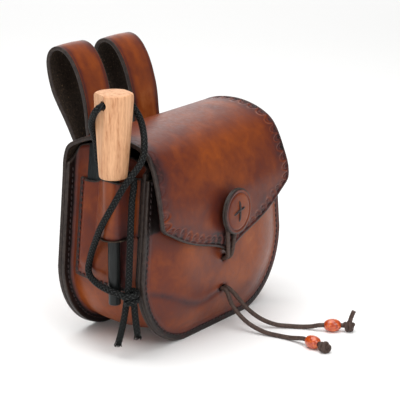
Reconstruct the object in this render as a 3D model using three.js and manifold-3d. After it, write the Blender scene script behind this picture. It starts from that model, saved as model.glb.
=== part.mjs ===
// Belt pouch of moulded leather with a pointed flap, a fire-steel sheath and two belt loops.
// Millimetres, +Z up, front towards -Y, the wearer behind +Y.
// The origin is the middle of the back panel's bottom edge, on the surface that the pouch stands on.
import * as THREE from 'three';
import { mergeVertices } from 'three/addons/utils/BufferGeometryUtils.js';
import Module from 'manifold-3d';

const wasm = await Module();
wasm.setup();

// Leather body
const LEATHER = 2.6;            // thickness of panels, flap and gusset
const SEAT_GAP = 0.3;           // clearance between pieces that are sewn or seated together
const HALF_WIDTH = 81.1;        // half the panels' width at the top of the bottom corners
const CORNER = 50;              // radius of the panels' bottom corners
const TAPER = 0.11;             // how far each side leans in for a millimetre of height
const BACK_FACE = LEATHER / 2;  // outer face of the back panel
const FRONT_FACE = -68;         // outer face of the front panel's sewn margin
const FRONT_TOP = 116;          // top edge of the front panel, under the flap
const FRONT_TOP_CORNER = 6;     // radius of the front panel's top corners
const SEWN_MARGIN = 7;          // flat edge of the front panel before it swells
const SWELL = 8.2;              // how far the front panel is moulded outwards
const SWELL_RUN = 34;           // distance over which it reaches that height
const SWELL_FADE = 60;          // height where the swell starts to fall towards the top edge

// Gusset
const WEB_INSET = 6;            // the gusset's web lies this far inside the panels' edges
const WEB_CROWN = 3;            // outward bulge of the web halfway between the panels
const WEB_TOP = 119;            // height where that bulge has faded out

// Flap
const FLAP_CORNER_SOFTNESS = 6; // rounding of the lower corners
const FLAP_CROWN = 1;           // forward bulge of the flap's front at the middle
const FLAP_CROWN_RUN = 2;       // rows of the profile over which the bulge comes up

// Button and lace
const LACE_D = 3;               // round lace
const HOLE_R = 3.7;             // lace holes, each wide enough for two strands
const UPPER_HOLE_Z = 48.5;
const LOWER_HOLE_Z = 27.3;
const BUTTON_Z = 82.4;
const BUTTON_BACK = -83.8;      // back face of the button, one lace clear of the flap
const POST_R = 5;
const POST_BACK = -80.5;        // end of the post against the flap

// Fire steel and striker
const STEEL = { x: -85.5, y: -48.4 };
const ROD_R = 4;
const ROD_BOTTOM = 34;
const HANDLE_BOTTOM = 118;
const SOCKET_DEPTH = 12;        // depth of the rod in the handle
const CORD_HOLE_Z = 166.5;
const CORD_HOLE_Y = -48.8;
const CORD_HOLE_R = 3;
const HANDLE_LEAN = { x: 0.02, y: -0.009 };  // drift of the carved handle for a millimetre of height
const FLAT_FROM_AXIS = 10.3;    // the two flats near the handle's top
const FLAT_TURN = 0.45;         // turn of the flats about the handle's axis, radians
const STRIKER = { width: 11, thick: 2.4, bottom: 56, top: 133, middle: -22.5 };
const STRIKER_LIFT = 0.8;       // the flat striker's middle over the curved web

// Sheath patch
const PATCH = 2.2;              // thickness of the patch
const PATCH_FRONT = -59.6;      // front edge of the patch, beside the front flange
const PATCH_MARGIN = 1.2;       // flat front margin
const PATCH_TOP = 110;
const PATCH_BOTTOM = 46.5;      // lower edge at the rear
const PATCH_SLOPE = 0.137;      // fall of the lower edge towards the front
const POCKET_START = 48;        // the striker pocket swells from here
const POCKET_RUN = 8;           // to its full height over this distance
const POCKET_PLAY = 1.6;        // room in the pocket beside the striker's thickness
const CHANNEL_TOP = 113.5;
const CHANNEL_BACK = -38;       // the top edge steps up to the channel's top here
const SLIT_Z = 76.5;            // the rod comes out of the channel here
const SLIT_LAP = 1;             // overlap that joins the patch above and below the slit
const CHANNEL_CLEAR = 0.4;      // play between rod and channel
const CHANNEL_STEPS = 8;        // facets round the rod
const CHANNEL_NECK = { aside: 7.3, drop: 3.6 };  // front side of the channel, from the rod's axis
const CHANNEL_FOOT = { aside: 8.9, rise: 1 };    // where it turns into the flat front margin

// Belt loops
const STRAP_THICK = 3.2;
const BELT_LOOPS = [
  { name: 'belt_loop_left', from: -38, to: -10, drop: -1 },
  { name: 'belt_loop_right', from: 13.5, to: 42.2, drop: 1.4 },
];

// Lanyard
const CORD_D = 4.2;
const KNOT = { x: -87, y: -61.8, z: 42 };

// Profile of the flap's outer face over the top, at its left and right edges: distance from the middle,
// depth and height
const FLAP_LEFT = [
  [74.3, 1.3, 112], [73.4, 1.1, 122], [73.1, -1.8, 130.2], [73, -8.5, 134.6], [73, -20, 138.8],
  [73, -38, 140.2], [73.3, -55, 138.8], [74, -66.3, 133.8], [74.8, -72, 125.3], [75.5, -77, 108.4],
  [75.8, -79.4, 94], [76.2, -80.2, 78], [76.2, -79.2, 53.6],
];
const FLAP_RIGHT = [
  [74.3, 1.3, 112], [73.4, 1.1, 122], [73.1, -1.8, 130.2], [73, -8.5, 134.4], [73, -20, 138.6],
  [73, -38, 139.6], [73.3, -53.5, 135.8], [74, -64.2, 129.2], [74.8, -69.5, 121.2], [76, -74.2, 108.4],
  [77.3, -77.4, 96], [77.6, -78.4, 79.5], [77.6, -79.2, 53.6],
];
// Lower edge of the flap from its blunt point up to its corners: height, distance from the middle
const FLAP_POINT = [
  [53.6, 1.2], [56.6, 5], [59.4, 11], [62.4, 20], [65.6, 32], [69.8, 45], [75.6, 57.5], [82, 69.5], [88, 84],
];
const FLAP_FRONT_ROW = 8;       // the front of the flap starts at this row of the profile
const FLAP_POINT_ROW = 10;      // and narrows to its point below this one

// Channel section of the gusset from the back flange to the front one, with the height of its top end;
// web rows take their inset from the crown
const GUSSET_SECTION = [
  { y: -4.1, inset: 0, top: 118.5 },
  { y: -4.1, inset: 2, top: 119.5 },
  { y: -4.4, inset: 3.8, top: 121.5 },
  { y: -5.5, inset: 5.4, top: 125.5 },
  { y: -7.3, inset: null, top: 129.5 },
  { y: -14, inset: null, top: 131.5 },
  { y: -23, inset: null, top: 132.5 },
  { y: -33, inset: null, top: 131 },
  { y: -43, inset: null, top: 129 },
  { y: -52, inset: null, top: 126.5 },
  { y: -59.4, inset: null, top: 123.5 },
  { y: -61.2, inset: 5.4, top: 122.5 },
  { y: -62.3, inset: 3.8, top: 121.5 },
  { y: -62.6, inset: 2, top: 120.5 },
  { y: -62.6, inset: 0, top: 119.5 },
];
const WEB_MIDDLE = -33.35;
const WEB_REACH = 26;           // the crown ends this far from the web's middle

// Middle line of a belt loop's strap, from its sewn front end over the top to its sewn rear end
const LOOP_PATH = [
  { y: 3.2, z: 88 }, { y: 3.2, z: 100 }, { y: 4.6, z: 112 }, { y: 7.2, z: 122 }, { y: 8.8, z: 131 },
  { y: 9.8, z: 142 }, { y: 11, z: 150 }, { y: 12.8, z: 157 }, { y: 15.2, z: 164.5 }, { y: 18.6, z: 172 },
  { y: 22.6, z: 178 }, { y: 27, z: 182 }, { y: 31.6, z: 183.6 }, { y: 36.2, z: 182.9 }, { y: 39.8, z: 179.6 },
  { y: 41.4, z: 174.2 }, { y: 41, z: 167.8 }, { y: 39.6, z: 161 }, { y: 37, z: 153 }, { y: 32.4, z: 144.4 },
  { y: 27.6, z: 136.4 }, { y: 22, z: 126 }, { y: 17, z: 116 }, { y: 11.8, z: 107 }, { y: 7.4, z: 100 },
  { y: 6.7, z: 88 },
];

// Radius of the wooden handle up its height
const HANDLE_PROFILE = [
  { radius: 8, z: 118 }, { radius: 9, z: 119.2 }, { radius: 9.3, z: 122 }, { radius: 10.6, z: 140 },
  { radius: 11.8, z: 156 }, { radius: 12.6, z: 169 }, { radius: 12.6, z: 171.6 }, { radius: 11.4, z: 173 },
];

// Section of the patch behind the channel, with the share of the striker pocket's height at each depth
const POCKET_SECTION = [
  { y: -11.9, share: 0 }, { y: -13.6, share: 0 }, { y: -15.6, share: 1 }, { y: -20, share: 1 },
  { y: -24.6, share: 1 }, { y: -29.4, share: 1 },
];
const PATCH_FLAT = [-42, -48.4, -54];  // depths of the flat part below the slit

// Routes of the cords, from the end that the object holds
const CLOSURE_HALF = [
  [1.7, -74.6, 48.5], [1.7, -78, 48.8], [1.8, -81, 51.2], [2.1, -82, 55.5], [2.8, -82, 62],
  [4.3, -82, 70], [6.2, -82, 77.5], [6.8, -82, 82.4], [4.8, -82, 87.2], [0, -82, 89.2],
];
const LACE_UPPER = [
  [1.7, -74.6, 27.3], [1.8, -78, 26.8], [3.8, -80.2, 24], [5.6, -82.6, 20.4], [6.6, -89.7, 13.6],
  [11, -98, 6.5], [16.1, -106.9, 2.6], [21.4, -115.2, 1.6], [25, -122.6, 1.6], [26.6, -128.8, 2.6],
  [27.6, -133.4, 4], [28.6, -136.4, 4.4], [32, -141.6, 4.4], [35.4, -146.8, 4.4],
];
const LACE_LOWER = [
  [-1.7, -74.6, 27.3], [-1.8, -78, 26.6], [-1.8, -80.4, 23], [-2.2, -83, 18.2], [-2.6, -89.7, 11.6],
  [-1.4, -97.2, 6], [-0.4, -108, 2.4], [0.7, -119, 1.6], [0.7, -128, 2], [-0.4, -135, 3.4],
  [-1.4, -139.2, 4.3], [-2.1, -141.9, 4.4], [-3.6, -147.9, 4.4], [-5.1, -153.9, 4.4],
];
const LANYARD_LEFT = [
  [-85.7, -48.8, 166.5], [-94, -48.8, 166.5], [-99, -48.8, 166.2], [-98.9, -45.4, 163], [-96.3, -41.2, 158.4],
  [-93.3, -37.8, 153], [-88.9, -35.6, 146.5], [-85.3, -35, 139], [-83.8, -35, 131], [-82.6, -35, 125.6],
  [-79, -36.6, 121.4], [-74.6, -41, 119.6], [-73, -47, 118.8], [-74, -53, 118], [-77, -58, 116.4],
  [-81, -61.2, 113.2], [-84.3, -62.4, 107.6], [-85.9, -62.6, 98], [-86.2, -62, 84], [-86.2, -61.2, 68],
  [-86.7, -60.8, 54], [-87, -60.4, 47.9],
];
const LANYARD_RIGHT = [
  [-85.3, -48.8, 166.5], [-74, -48.8, 166.5], [-70.4, -49.4, 165.2], [-68, -52.2, 160.4], [-67.6, -56.6, 154],
  [-70.6, -61.2, 147.5], [-76.3, -66.2, 141], [-79.5, -67.8, 134.6], [-84, -67.8, 128.6],
  [-89.3, -66.2, 123.2], [-93.5, -63.2, 116.6], [-95.6, -59.6, 109.6], [-96, -55.5, 102.8],
  [-95.5, -50.4, 95.2], [-94.2, -44.4, 86.5], [-91.4, -38.2, 76.5], [-88.6, -32.8, 67.4],
  [-86.4, -28.8, 58.8], [-86.4, -28, 53.6], [-87, -30, 50], [-88.6, -34.4, 48],
  [-90.8, -40.2, 46.8], [-92.4, -47, 45.8], [-92, -52, 44.6], [-90.4, -55.6, 43.4],
];
const TAIL_LEFT = [[-88.2, -59.4, 36], [-88.6, -58, 27], [-89.1, -55.8, 17], [-89.6, -53.6, 8.6]];
const TAIL_RIGHT = [[-86, -64.2, 36], [-86.3, -65.2, 29], [-86.6, -66.4, 22], [-86.8, -67.6, 15.2]];

const BEAD = { radius: 4.3, length: 11, bore: 1.9, bulge: 2.7 };  // bulge is the arc of its side, radians

// Two-lobed profiles of the knots about their middles, and the button's from its back face
const LACE_KNOT = [
  { radius: 0, z: -4.5 }, { radius: 2.2, z: -4.5 }, { radius: 3.6, z: -2.6 }, { radius: 3, z: 0 },
  { radius: 3.6, z: 2.4 }, { radius: 2, z: 4.5 }, { radius: 0, z: 4.5 },
];
const LANYARD_KNOT = [
  { radius: 0, z: -5.5 }, { radius: 4, z: -5.5 }, { radius: 5.8, z: -2.8 }, { radius: 5.2, z: 0 },
  { radius: 5.8, z: 2.8 }, { radius: 4, z: 5.5 }, { radius: 0, z: 5.5 },
];
const BUTTON = [
  { radius: 0, z: 0 }, { radius: 14.7, z: 0 }, { radius: 15.5, z: 0.8 }, { radius: 15, z: 1.8 },
  { radius: 15.5, z: 2.8 }, { radius: 14.7, z: 3.6 }, { radius: 0, z: 3.9 },
];

const material = (color, roughness, metalness = 0) =>
  new THREE.MeshStandardMaterial({ color, roughness, metalness });
const SADDLE = material(0x7e4028, 0.4);
const LACE = material(0x4d3a33, 0.7);
const CORD = material(0x1b1b1a, 0.85);
const BEECH = material(0xe4b88c, 0.6);
const BEAD_RED = material(0xc85a2a, 0.3);
const FERRO = material(0x3a3b3c, 0.45, 0.6);
const BLACK_STEEL = material(0x1d1f20, 0.5, 0.6);

const pouch = new THREE.Group();

function addPiece(name, geometry, finish) {
  const mesh = new THREE.Mesh(geometry, finish);
  mesh.name = name;
  pouch.add(mesh);
  return mesh;
}

const clamp01 = (value) => Math.min(1, Math.max(0, value));
const smoothStep = (value) => THREE.MathUtils.smoothstep(value, 0, 1);
const softMin = (a, b, softness) => (a + b - Math.hypot(a - b, softness)) / 2;
const vectors = (route) => route.map(([x, y, z]) => new THREE.Vector3(x, y, z));

// Value at a place in a table of places and values, on the straight lines between its rows
function between(table, place) {
  const last = table.findIndex(([start]) => start >= place);
  if (last === 0) return table[0][1];
  if (last < 0) return table.at(-1)[1];
  const [[from, low], [to, high]] = table.slice(last - 1, last + 1);
  return low + (high - low) * (place - from) / (to - from);
}

// Solid for cutting and joining, made from a closed mesh
function solidOf(geometry) {
  const bare = geometry.clone();
  bare.deleteAttribute('normal');
  bare.deleteAttribute('uv');
  const merged = mergeVertices(bare, 1e-4);
  return new wasm.Manifold(new wasm.Mesh({
    numProp: 3,
    vertProperties: new Float32Array(merged.attributes.position.array),
    triVerts: new Uint32Array(merged.index.array),
  }));
}

function geometryOf(solid) {
  const mesh = solid.getMesh();
  const geometry = new THREE.BufferGeometry();
  geometry.setAttribute('position', new THREE.BufferAttribute(new Float32Array(mesh.vertProperties), 3));
  geometry.setIndex(new THREE.BufferAttribute(new Uint32Array(mesh.triVerts), 1));
  return geometry;
}

// Leather wall: a grid of points on the visible face, thickened away from that face
function wall(grid, thickness) {
  const rows = grid.length;
  const cols = grid[0].length;
  const inside = grid.map((row, i) => row.map((point, j) => {
    const along = grid[Math.min(i + 1, rows - 1)][j].clone().sub(grid[Math.max(i - 1, 0)][j]);
    const across = row[Math.min(j + 1, cols - 1)].clone().sub(row[Math.max(j - 1, 0)]);
    return point.clone().addScaledVector(along.cross(across).normalize(), -thickness);
  }));
  const positions = [grid, inside].flat(2).flatMap((point) => point.toArray());
  const face = (i, j) => i * cols + j;
  const back = (i, j) => rows * cols + i * cols + j;
  const index = [];
  const quad = (a, b, c, d) => index.push(a, b, c, a, c, d);
  for (let i = 0; i < rows - 1; i++) {
    for (let j = 0; j < cols - 1; j++) {
      quad(face(i, j), face(i + 1, j), face(i + 1, j + 1), face(i, j + 1));
      quad(back(i, j), back(i, j + 1), back(i + 1, j + 1), back(i + 1, j));
    }
  }
  const last = { row: rows - 1, col: cols - 1 };
  for (let j = 0; j < last.col; j++) {
    quad(face(0, j), face(0, j + 1), back(0, j + 1), back(0, j));
    quad(face(last.row, j + 1), face(last.row, j), back(last.row, j), back(last.row, j + 1));
  }
  for (let i = 0; i < last.row; i++) {
    quad(face(i + 1, 0), face(i, 0), back(i, 0), back(i + 1, 0));
    quad(face(i, last.col), face(i + 1, last.col), back(i + 1, last.col), back(i, last.col));
  }
  const geometry = new THREE.BufferGeometry();
  geometry.setAttribute('position', new THREE.Float32BufferAttribute(positions, 3));
  geometry.setIndex(index);
  return geometry;
}

// Round cord along a route
function tube(points, diameter, steps, sides = 8) {
  const section = new THREE.Shape();
  for (let k = 0; k < sides; k++) {
    const turn = (k / sides) * 2 * Math.PI;
    const corner = [Math.cos(turn) * diameter / 2, Math.sin(turn) * diameter / 2];
    if (k === 0) section.moveTo(...corner);
    else section.lineTo(...corner);
  }
  section.closePath();
  const extrudePath = new THREE.CatmullRomCurve3(points, false, 'centripetal');
  return new THREE.ExtrudeGeometry(section, { steps, extrudePath, bevelEnabled: false });
}

// Turned solid on the Z axis, from rows of radius and height going up
function turned(profile, segments) {
  const outline = profile.map(({ radius, z }) => new THREE.Vector2(radius, z));
  return new THREE.LatheGeometry(outline, segments).rotateX(Math.PI / 2);
}

// Round bar along Z between two heights
function bar(radius, bottom, top, segments) {
  const edge = [{ radius, z: bottom }, { radius, z: top }];
  return turned([{ radius: 0, z: bottom }, ...edge, { radius: 0, z: top }], segments);
}

// Turns a piece made on the Z axis so that it lies along a direction, centred on a point
function aim(geometry, point, direction) {
  const turn = new THREE.Quaternion();
  turn.setFromUnitVectors(new THREE.Vector3(0, 0, 1), direction.clone().normalize());
  return geometry.applyQuaternion(turn).translate(point.x, point.y, point.z);
}

// Half the panels' width at a height
function panelHalf(z) {
  if (z >= CORNER) return HALF_WIDTH - TAPER * (z - CORNER);
  return HALF_WIDTH - CORNER + Math.sqrt(CORNER ** 2 - (CORNER - z) ** 2);
}

// Distance of a point of a panel from the panel's side and bottom edges
function fromEdge(x, z) {
  const flat = HALF_WIDTH - CORNER;
  const side = Math.abs(x);
  if (z >= CORNER) return panelHalf(z) - side;
  if (side <= flat) return z;
  return CORNER - Math.hypot(side - flat, z - CORNER);
}

// Heights of grid rows round the bottom corners, evenly spaced along the arc
function cornerHeights(steps) {
  const heights = [];
  for (let k = 0; k <= steps; k++) heights.push(CORNER * (1 - Math.cos((k / steps) * Math.PI / 2)));
  return heights;
}

// Back panel and flap in one piece: up the back, over the top and down to the point
function makeBackFlap() {
  const columns = 10;
  const grid = [];
  const addRow = (leftHalf, rightHalf, place) => {
    const row = [];
    for (let j = 0; j <= columns; j++) row.push(place((leftHalf + rightHalf) * j / columns - leftHalf));
    grid.push(row);
  };
  for (const z of [...cornerHeights(6), 70, 92]) {
    addRow(panelHalf(z), panelHalf(z), (x) => new THREE.Vector3(x, BACK_FACE, z));
  }
  const [left, right] = [FLAP_LEFT, FLAP_RIGHT].map((edge) => (
    new THREE.CatmullRomCurve3(vectors(edge), false, 'centripetal')));
  const spans = FLAP_LEFT.length - 1;
  const flapRow = (row) => {
    const a = left.getPoint(row / spans);
    const b = right.getPoint(row / spans);
    const pointed = between(FLAP_POINT, (a.z + b.z) / 2);
    const half = (side) => (row < FLAP_FRONT_ROW ? side : softMin(side, pointed, FLAP_CORNER_SOFTNESS));
    const crown = FLAP_CROWN * smoothStep((row - FLAP_FRONT_ROW) / FLAP_CROWN_RUN);
    const tip = FLAP_POINT[0][1];
    addRow(Math.max(tip, half(a.x)), Math.max(tip, half(b.x)), (x) => {
      const mix = (x + a.x) / (a.x + b.x);
      const bulge = crown * 4 * mix * (1 - mix);
      return new THREE.Vector3(x, a.y + (b.y - a.y) * mix - bulge, a.z + (b.z - a.z) * mix);
    });
  };
  for (let row = 0; row < FLAP_POINT_ROW; row++) {
    const steps = row === 0 ? 1 : 2;
    for (let k = 0; k < steps; k++) flapRow(row + k / steps);
  }
  const pointSteps = 12;
  for (let k = 0; k <= pointSteps; k++) flapRow(FLAP_POINT_ROW + (spans - FLAP_POINT_ROW) * k / pointSteps);
  addPiece('back_flap', wall(grid, LEATHER), SADDLE);
}

// Moulded front panel with its two lace holes
function makeFrontPanel() {
  const columns = 18;
  const heights = [...cornerHeights(6), 61, 72, 83, 94, 104, 110, 113, 115, FRONT_TOP];
  const grid = heights.map((z) => {
    const into = Math.max(0, z - (FRONT_TOP - FRONT_TOP_CORNER));
    const half = panelHalf(z) - FRONT_TOP_CORNER + Math.sqrt(FRONT_TOP_CORNER ** 2 - into ** 2);
    const fade = 1 - smoothStep((z - SWELL_FADE) / (FRONT_TOP - SWELL_FADE));
    const row = [];
    for (let j = 0; j <= columns; j++) {
      const x = half * (1 - 2 * j / columns);
      const rise = clamp01((fromEdge(x, z) - SEWN_MARGIN) / SWELL_RUN);
      row.push(new THREE.Vector3(x, FRONT_FACE - SWELL * fade * (1 - (1 - rise) ** 2), z));
    }
    return row;
  });
  let panel = solidOf(wall(grid, LEATHER));
  const reach = 3 * SWELL;
  for (const z of [LOWER_HOLE_Z, UPPER_HOLE_Z]) {
    const punch = bar(HOLE_R, -reach, reach, 14).rotateX(Math.PI / 2).translate(0, FRONT_FACE - SWELL, z);
    panel = panel.subtract(solidOf(punch));
  }
  addPiece('front_panel', geometryOf(panel), SADDLE);
}

// Outward bulge of the web at a depth and a height
function webCrown(y, z) {
  const across = clamp01(1 - ((y - WEB_MIDDLE) / WEB_REACH) ** 2);
  return WEB_CROWN * across * clamp01((WEB_TOP - z) / (WEB_TOP - CORNER));
}

// Outer face of the gusset's web on the left side
function webX(y, z) {
  const inset = WEB_INSET - webCrown(y, z);
  if (z >= CORNER) return inset - panelHalf(z);
  return -(HALF_WIDTH - CORNER) - Math.sqrt((CORNER - inset) ** 2 - (CORNER - z) ** 2);
}

// Side and bottom strip, a channel bent round the panels' edges
function makeGusset() {
  const sideSteps = 5;
  const turnSteps = 8;
  const flat = HALF_WIDTH - CORNER;
  const half = [];
  const insetOf = (column, z) => column.inset ?? WEB_INSET - webCrown(column.y, z);
  for (let k = 0; k < sideSteps; k++) {
    half.push(GUSSET_SECTION.map((column) => {
      const z = column.top + (CORNER - column.top) * k / sideSteps;
      return new THREE.Vector3(insetOf(column, z) - panelHalf(z), column.y, z);
    }));
  }
  for (let k = 0; k <= turnSteps; k++) {
    const turn = (k / turnSteps) * Math.PI / 2;
    half.push(GUSSET_SECTION.map((column) => {
      const radius = CORNER - insetOf(column, CORNER);
      return new THREE.Vector3(-flat - radius * Math.cos(turn), column.y, CORNER - radius * Math.sin(turn));
    }));
  }
  const mirrored = half.map((row) => row.map((point) => new THREE.Vector3(-point.x, point.y, point.z)));
  addPiece('gusset', wall([...half, ...mirrored.reverse()], LEATHER), SADDLE);
}

// Height of the patch's lower edge, which slopes down towards the front
function patchBottom(y) {
  return PATCH_BOTTOM + PATCH_SLOPE * (y - POCKET_SECTION[0].y);
}

// Section of the patch at a height as rows of depth and visible height over the web; from the pocket the
// leather runs straight on to the channel round the rod
function patchSection(z, withChannel) {
  const seat = SEAT_GAP + PATCH;
  const pocket = (STRIKER.thick + POCKET_PLAY) * smoothStep((z - POCKET_START) / POCKET_RUN);
  const section = POCKET_SECTION.map(({ y, share }) => ({ y, out: seat + share * pocket }));
  if (withChannel) {
    const axis = webX(STEEL.y, z) - STEEL.x;
    const radius = ROD_R + CHANNEL_CLEAR + PATCH;
    const addPoint = (aside, out) => section.push({ y: STEEL.y + aside, out });
    const pocketEnd = section[section.length - 1];
    const aside = pocketEnd.y - STEEL.y;
    const rise = pocketEnd.out - axis;
    const start = Math.atan2(rise, aside) + Math.acos(radius / Math.hypot(aside, rise));
    for (let k = 0; k <= CHANNEL_STEPS; k++) {
      const turn = start + (Math.PI - start) * k / CHANNEL_STEPS;
      addPoint(radius * Math.cos(turn), axis + radius * Math.sin(turn));
    }
    addPoint(-CHANNEL_NECK.aside, axis - CHANNEL_NECK.drop);
    addPoint(-CHANNEL_FOOT.aside, seat + CHANNEL_FOOT.rise);
  } else {
    for (const y of PATCH_FLAT) section.push({ y, out: seat });
  }
  section.push({ y: PATCH_FRONT + PATCH_MARGIN, out: seat }, { y: PATCH_FRONT, out: seat });
  return section;
}

// Sheath patch: striker pocket at the back, moulded fire-steel channel at the front, a slit below it
function makeSheathPatch() {
  const steps = 5;
  const grid = (heightsOf, withChannel) => {
    const rows = [];
    for (let k = 0; k <= steps; k++) {
      const sample = patchSection(SLIT_Z, withChannel);
      rows.push(sample.map(({ y }, j) => {
        const { from, to } = heightsOf(y);
        const z = from + (to - from) * k / steps;
        const { y: depth, out } = patchSection(z, withChannel)[j];
        return new THREE.Vector3(webX(depth, z) - out, depth, z);
      }));
    }
    return rows;
  };
  const above = grid((y) => ({ from: y < CHANNEL_BACK ? CHANNEL_TOP : PATCH_TOP, to: SLIT_Z }), true);
  const below = grid((y) => ({ from: SLIT_Z + SLIT_LAP, to: patchBottom(y) }), false);
  const patch = solidOf(wall(above, PATCH)).add(solidOf(wall(below, PATCH)));
  addPiece('sheath_patch', geometryOf(patch), SADDLE);
}

// Belt loops, each a strap folded over and sewn to the back by both ends
function makeBeltLoops() {
  const stations = 50;
  const path = new THREE.CatmullRomCurve3(
    LOOP_PATH.map(({ y, z }) => new THREE.Vector3(y, z, 0)), false, 'centripetal');
  const outer = [];
  const inner = [];
  for (let k = 0; k <= stations; k++) {
    const point = path.getPoint(k / stations);
    const along = path.getTangent(k / stations);
    const aside = new THREE.Vector2(-along.y, along.x).multiplyScalar(STRAP_THICK / 2);
    outer.push(new THREE.Vector2(point.x + aside.x, point.y + aside.y));
    inner.push(new THREE.Vector2(point.x - aside.x, point.y - aside.y));
  }
  const profile = new THREE.Shape([...outer, ...inner.reverse()]);
  for (const { name, from, to, drop } of BELT_LOOPS) {
    const strap = new THREE.ExtrudeGeometry(profile, { depth: to - from, bevelEnabled: false });
    // The drawn profile's axes become Y and Z, and its depth becomes X
    const upright = new THREE.Matrix4().makeBasis(
      new THREE.Vector3(0, 1, 0), new THREE.Vector3(0, 0, 1), new THREE.Vector3(1, 0, 0));
    addPiece(name, strap.applyMatrix4(upright).translate(from, 0, -drop), SADDLE);
  }
}

// Two-layer leather button on a post that stands off the flap
function makeButton() {
  const forward = new THREE.Vector3(0, -1, 0);
  const face = new THREE.Vector3(0, BUTTON_BACK, BUTTON_Z);
  addPiece('button', aim(turned(BUTTON, 28), face, forward), SADDLE);
  const length = POST_BACK - BUTTON_BACK - SEAT_GAP;
  const foot = new THREE.Vector3(0, POST_BACK, BUTTON_Z);
  addPiece('button_post', aim(bar(POST_R, 0, length, 20), foot, forward), LACE);
}

// Closure loop and the two laces with their beads and knots
function makeLaces() {
  const rising = vectors(CLOSURE_HALF);
  const falling = rising.slice(0, -1).reverse().map((point) => new THREE.Vector3(-point.x, point.y, point.z));
  addPiece('closure_loop', tube([...rising, ...falling], LACE_D, 32), LACE);
  for (const [name, route] of [['upper', LACE_UPPER], ['lower', LACE_LOWER]]) {
    addPiece(`lace_${name}`, tube(vectors(route), LACE_D, 22), LACE);
    const ring = [{ radius: BEAD.bore, z: BEAD.length / 2 }, { radius: BEAD.bore, z: -BEAD.length / 2 }];
    const bulgeSteps = 6;
    for (let k = 0; k <= bulgeSteps; k++) {
      const turn = (k / bulgeSteps - 0.5) * BEAD.bulge;
      ring.push({ radius: BEAD.radius * Math.cos(turn), z: Math.sin(turn) * BEAD.length / 2 });
    }
    ring.push(ring[0]);
    // The bead is threaded on the last straight stretch, and the knot follows the lace's end
    const [beadMiddle, end] = vectors(route.slice(-2));
    const heading = end.clone().sub(beadMiddle).normalize();
    addPiece(`bead_${name}`, aim(turned(ring, 12), beadMiddle, heading), BEAD_RED);
    const middle = end.addScaledVector(heading, LACE_KNOT.at(-1).z + SEAT_GAP);
    middle.z = Math.max(...LACE_KNOT.map(({ radius }) => radius)) + SEAT_GAP;
    addPiece(`lace_knot_${name}`, aim(turned(LACE_KNOT, 12), middle, heading), LACE);
  }
}

// Fire steel: ferro rod glued into a tapered wooden handle with two flats and a cord hole
function makeFireSteel() {
  const rodTop = HANDLE_BOTTOM + SOCKET_DEPTH;
  addPiece('fire_steel_rod', bar(ROD_R, ROD_BOTTOM, rodTop, 16).translate(STEEL.x, STEEL.y, 0), FERRO);
  const last = HANDLE_PROFILE.at(-1);
  const outline = [{ radius: 0, z: HANDLE_BOTTOM }, ...HANDLE_PROFILE, { radius: 0, z: last.z }];
  const lean = new THREE.Matrix4().makeShear(0, 0, 0, 0, HANDLE_LEAN.x, HANDLE_LEAN.y);
  const blank = turned(outline, 20).translate(0, 0, -HANDLE_BOTTOM).applyMatrix4(lean);
  let handle = solidOf(blank.translate(STEEL.x, STEEL.y, HANDLE_BOTTOM));
  const socketTop = rodTop + SEAT_GAP;
  const socket = bar(ROD_R + SEAT_GAP, HANDLE_BOTTOM - SOCKET_DEPTH, socketTop, 16);
  handle = handle.subtract(solidOf(socket.translate(STEEL.x, STEEL.y, 0)));
  const cut = 60;
  const up = CORD_HOLE_Z - HANDLE_BOTTOM;
  for (const side of [-1, 1]) {
    const block = new THREE.BoxGeometry(cut, cut, cut).translate(side * (FLAT_FROM_AXIS + cut / 2), 0, 0);
    block.rotateZ(-FLAT_TURN);
    block.translate(STEEL.x + HANDLE_LEAN.x * up, STEEL.y + HANDLE_LEAN.y * up, CORD_HOLE_Z);
    handle = handle.subtract(solidOf(block));
  }
  const drill = bar(CORD_HOLE_R, -cut / 2, cut / 2, 14).rotateY(Math.PI / 2);
  handle = handle.subtract(solidOf(drill.translate(STEEL.x, CORD_HOLE_Y, CORD_HOLE_Z)));
  addPiece('fire_steel_handle', geometryOf(handle), BEECH);
}

// Striker plate, leaning with the web that it lies on
function makeStriker() {
  const low = webX(STRIKER.middle, STRIKER.bottom);
  const high = webX(STRIKER.middle, WEB_TOP);
  const lean = Math.atan2(high - low, WEB_TOP - STRIKER.bottom);
  const length = (STRIKER.top - STRIKER.bottom) / Math.cos(lean);
  const plate = new THREE.BoxGeometry(STRIKER.thick, STRIKER.width, length);
  plate.translate(-STRIKER.thick / 2 - STRIKER_LIFT, 0, length / 2).rotateY(lean);
  addPiece('striker_plate', plate.translate(low, STRIKER.middle, STRIKER.bottom), BLACK_STEEL);
}

// Lanyard: two strands from the handle's hole to a knot, and the cord's two free ends
function makeLanyard() {
  addPiece('lanyard_left', tube(vectors(LANYARD_LEFT), CORD_D, 32), CORD);
  addPiece('lanyard_right', tube(vectors(LANYARD_RIGHT), CORD_D, 36), CORD);
  addPiece('lanyard_tail_left', tube(vectors(TAIL_LEFT), CORD_D, 4), CORD);
  addPiece('lanyard_tail_right', tube(vectors(TAIL_RIGHT), CORD_D, 3), CORD);
  addPiece('lanyard_knot', turned(LANYARD_KNOT, 14).translate(KNOT.x, KNOT.y, KNOT.z), CORD);
}

makeBackFlap();
makeFrontPanel();
makeGusset();
makeSheathPatch();
makeBeltLoops();
makeButton();
makeLaces();
makeFireSteel();
makeStriker();
makeLanyard();

export default pouch;
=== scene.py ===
"""Leather hunting pouch on a pale floor: moulded body, tooled flap, fire steel in a side sheath."""

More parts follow.
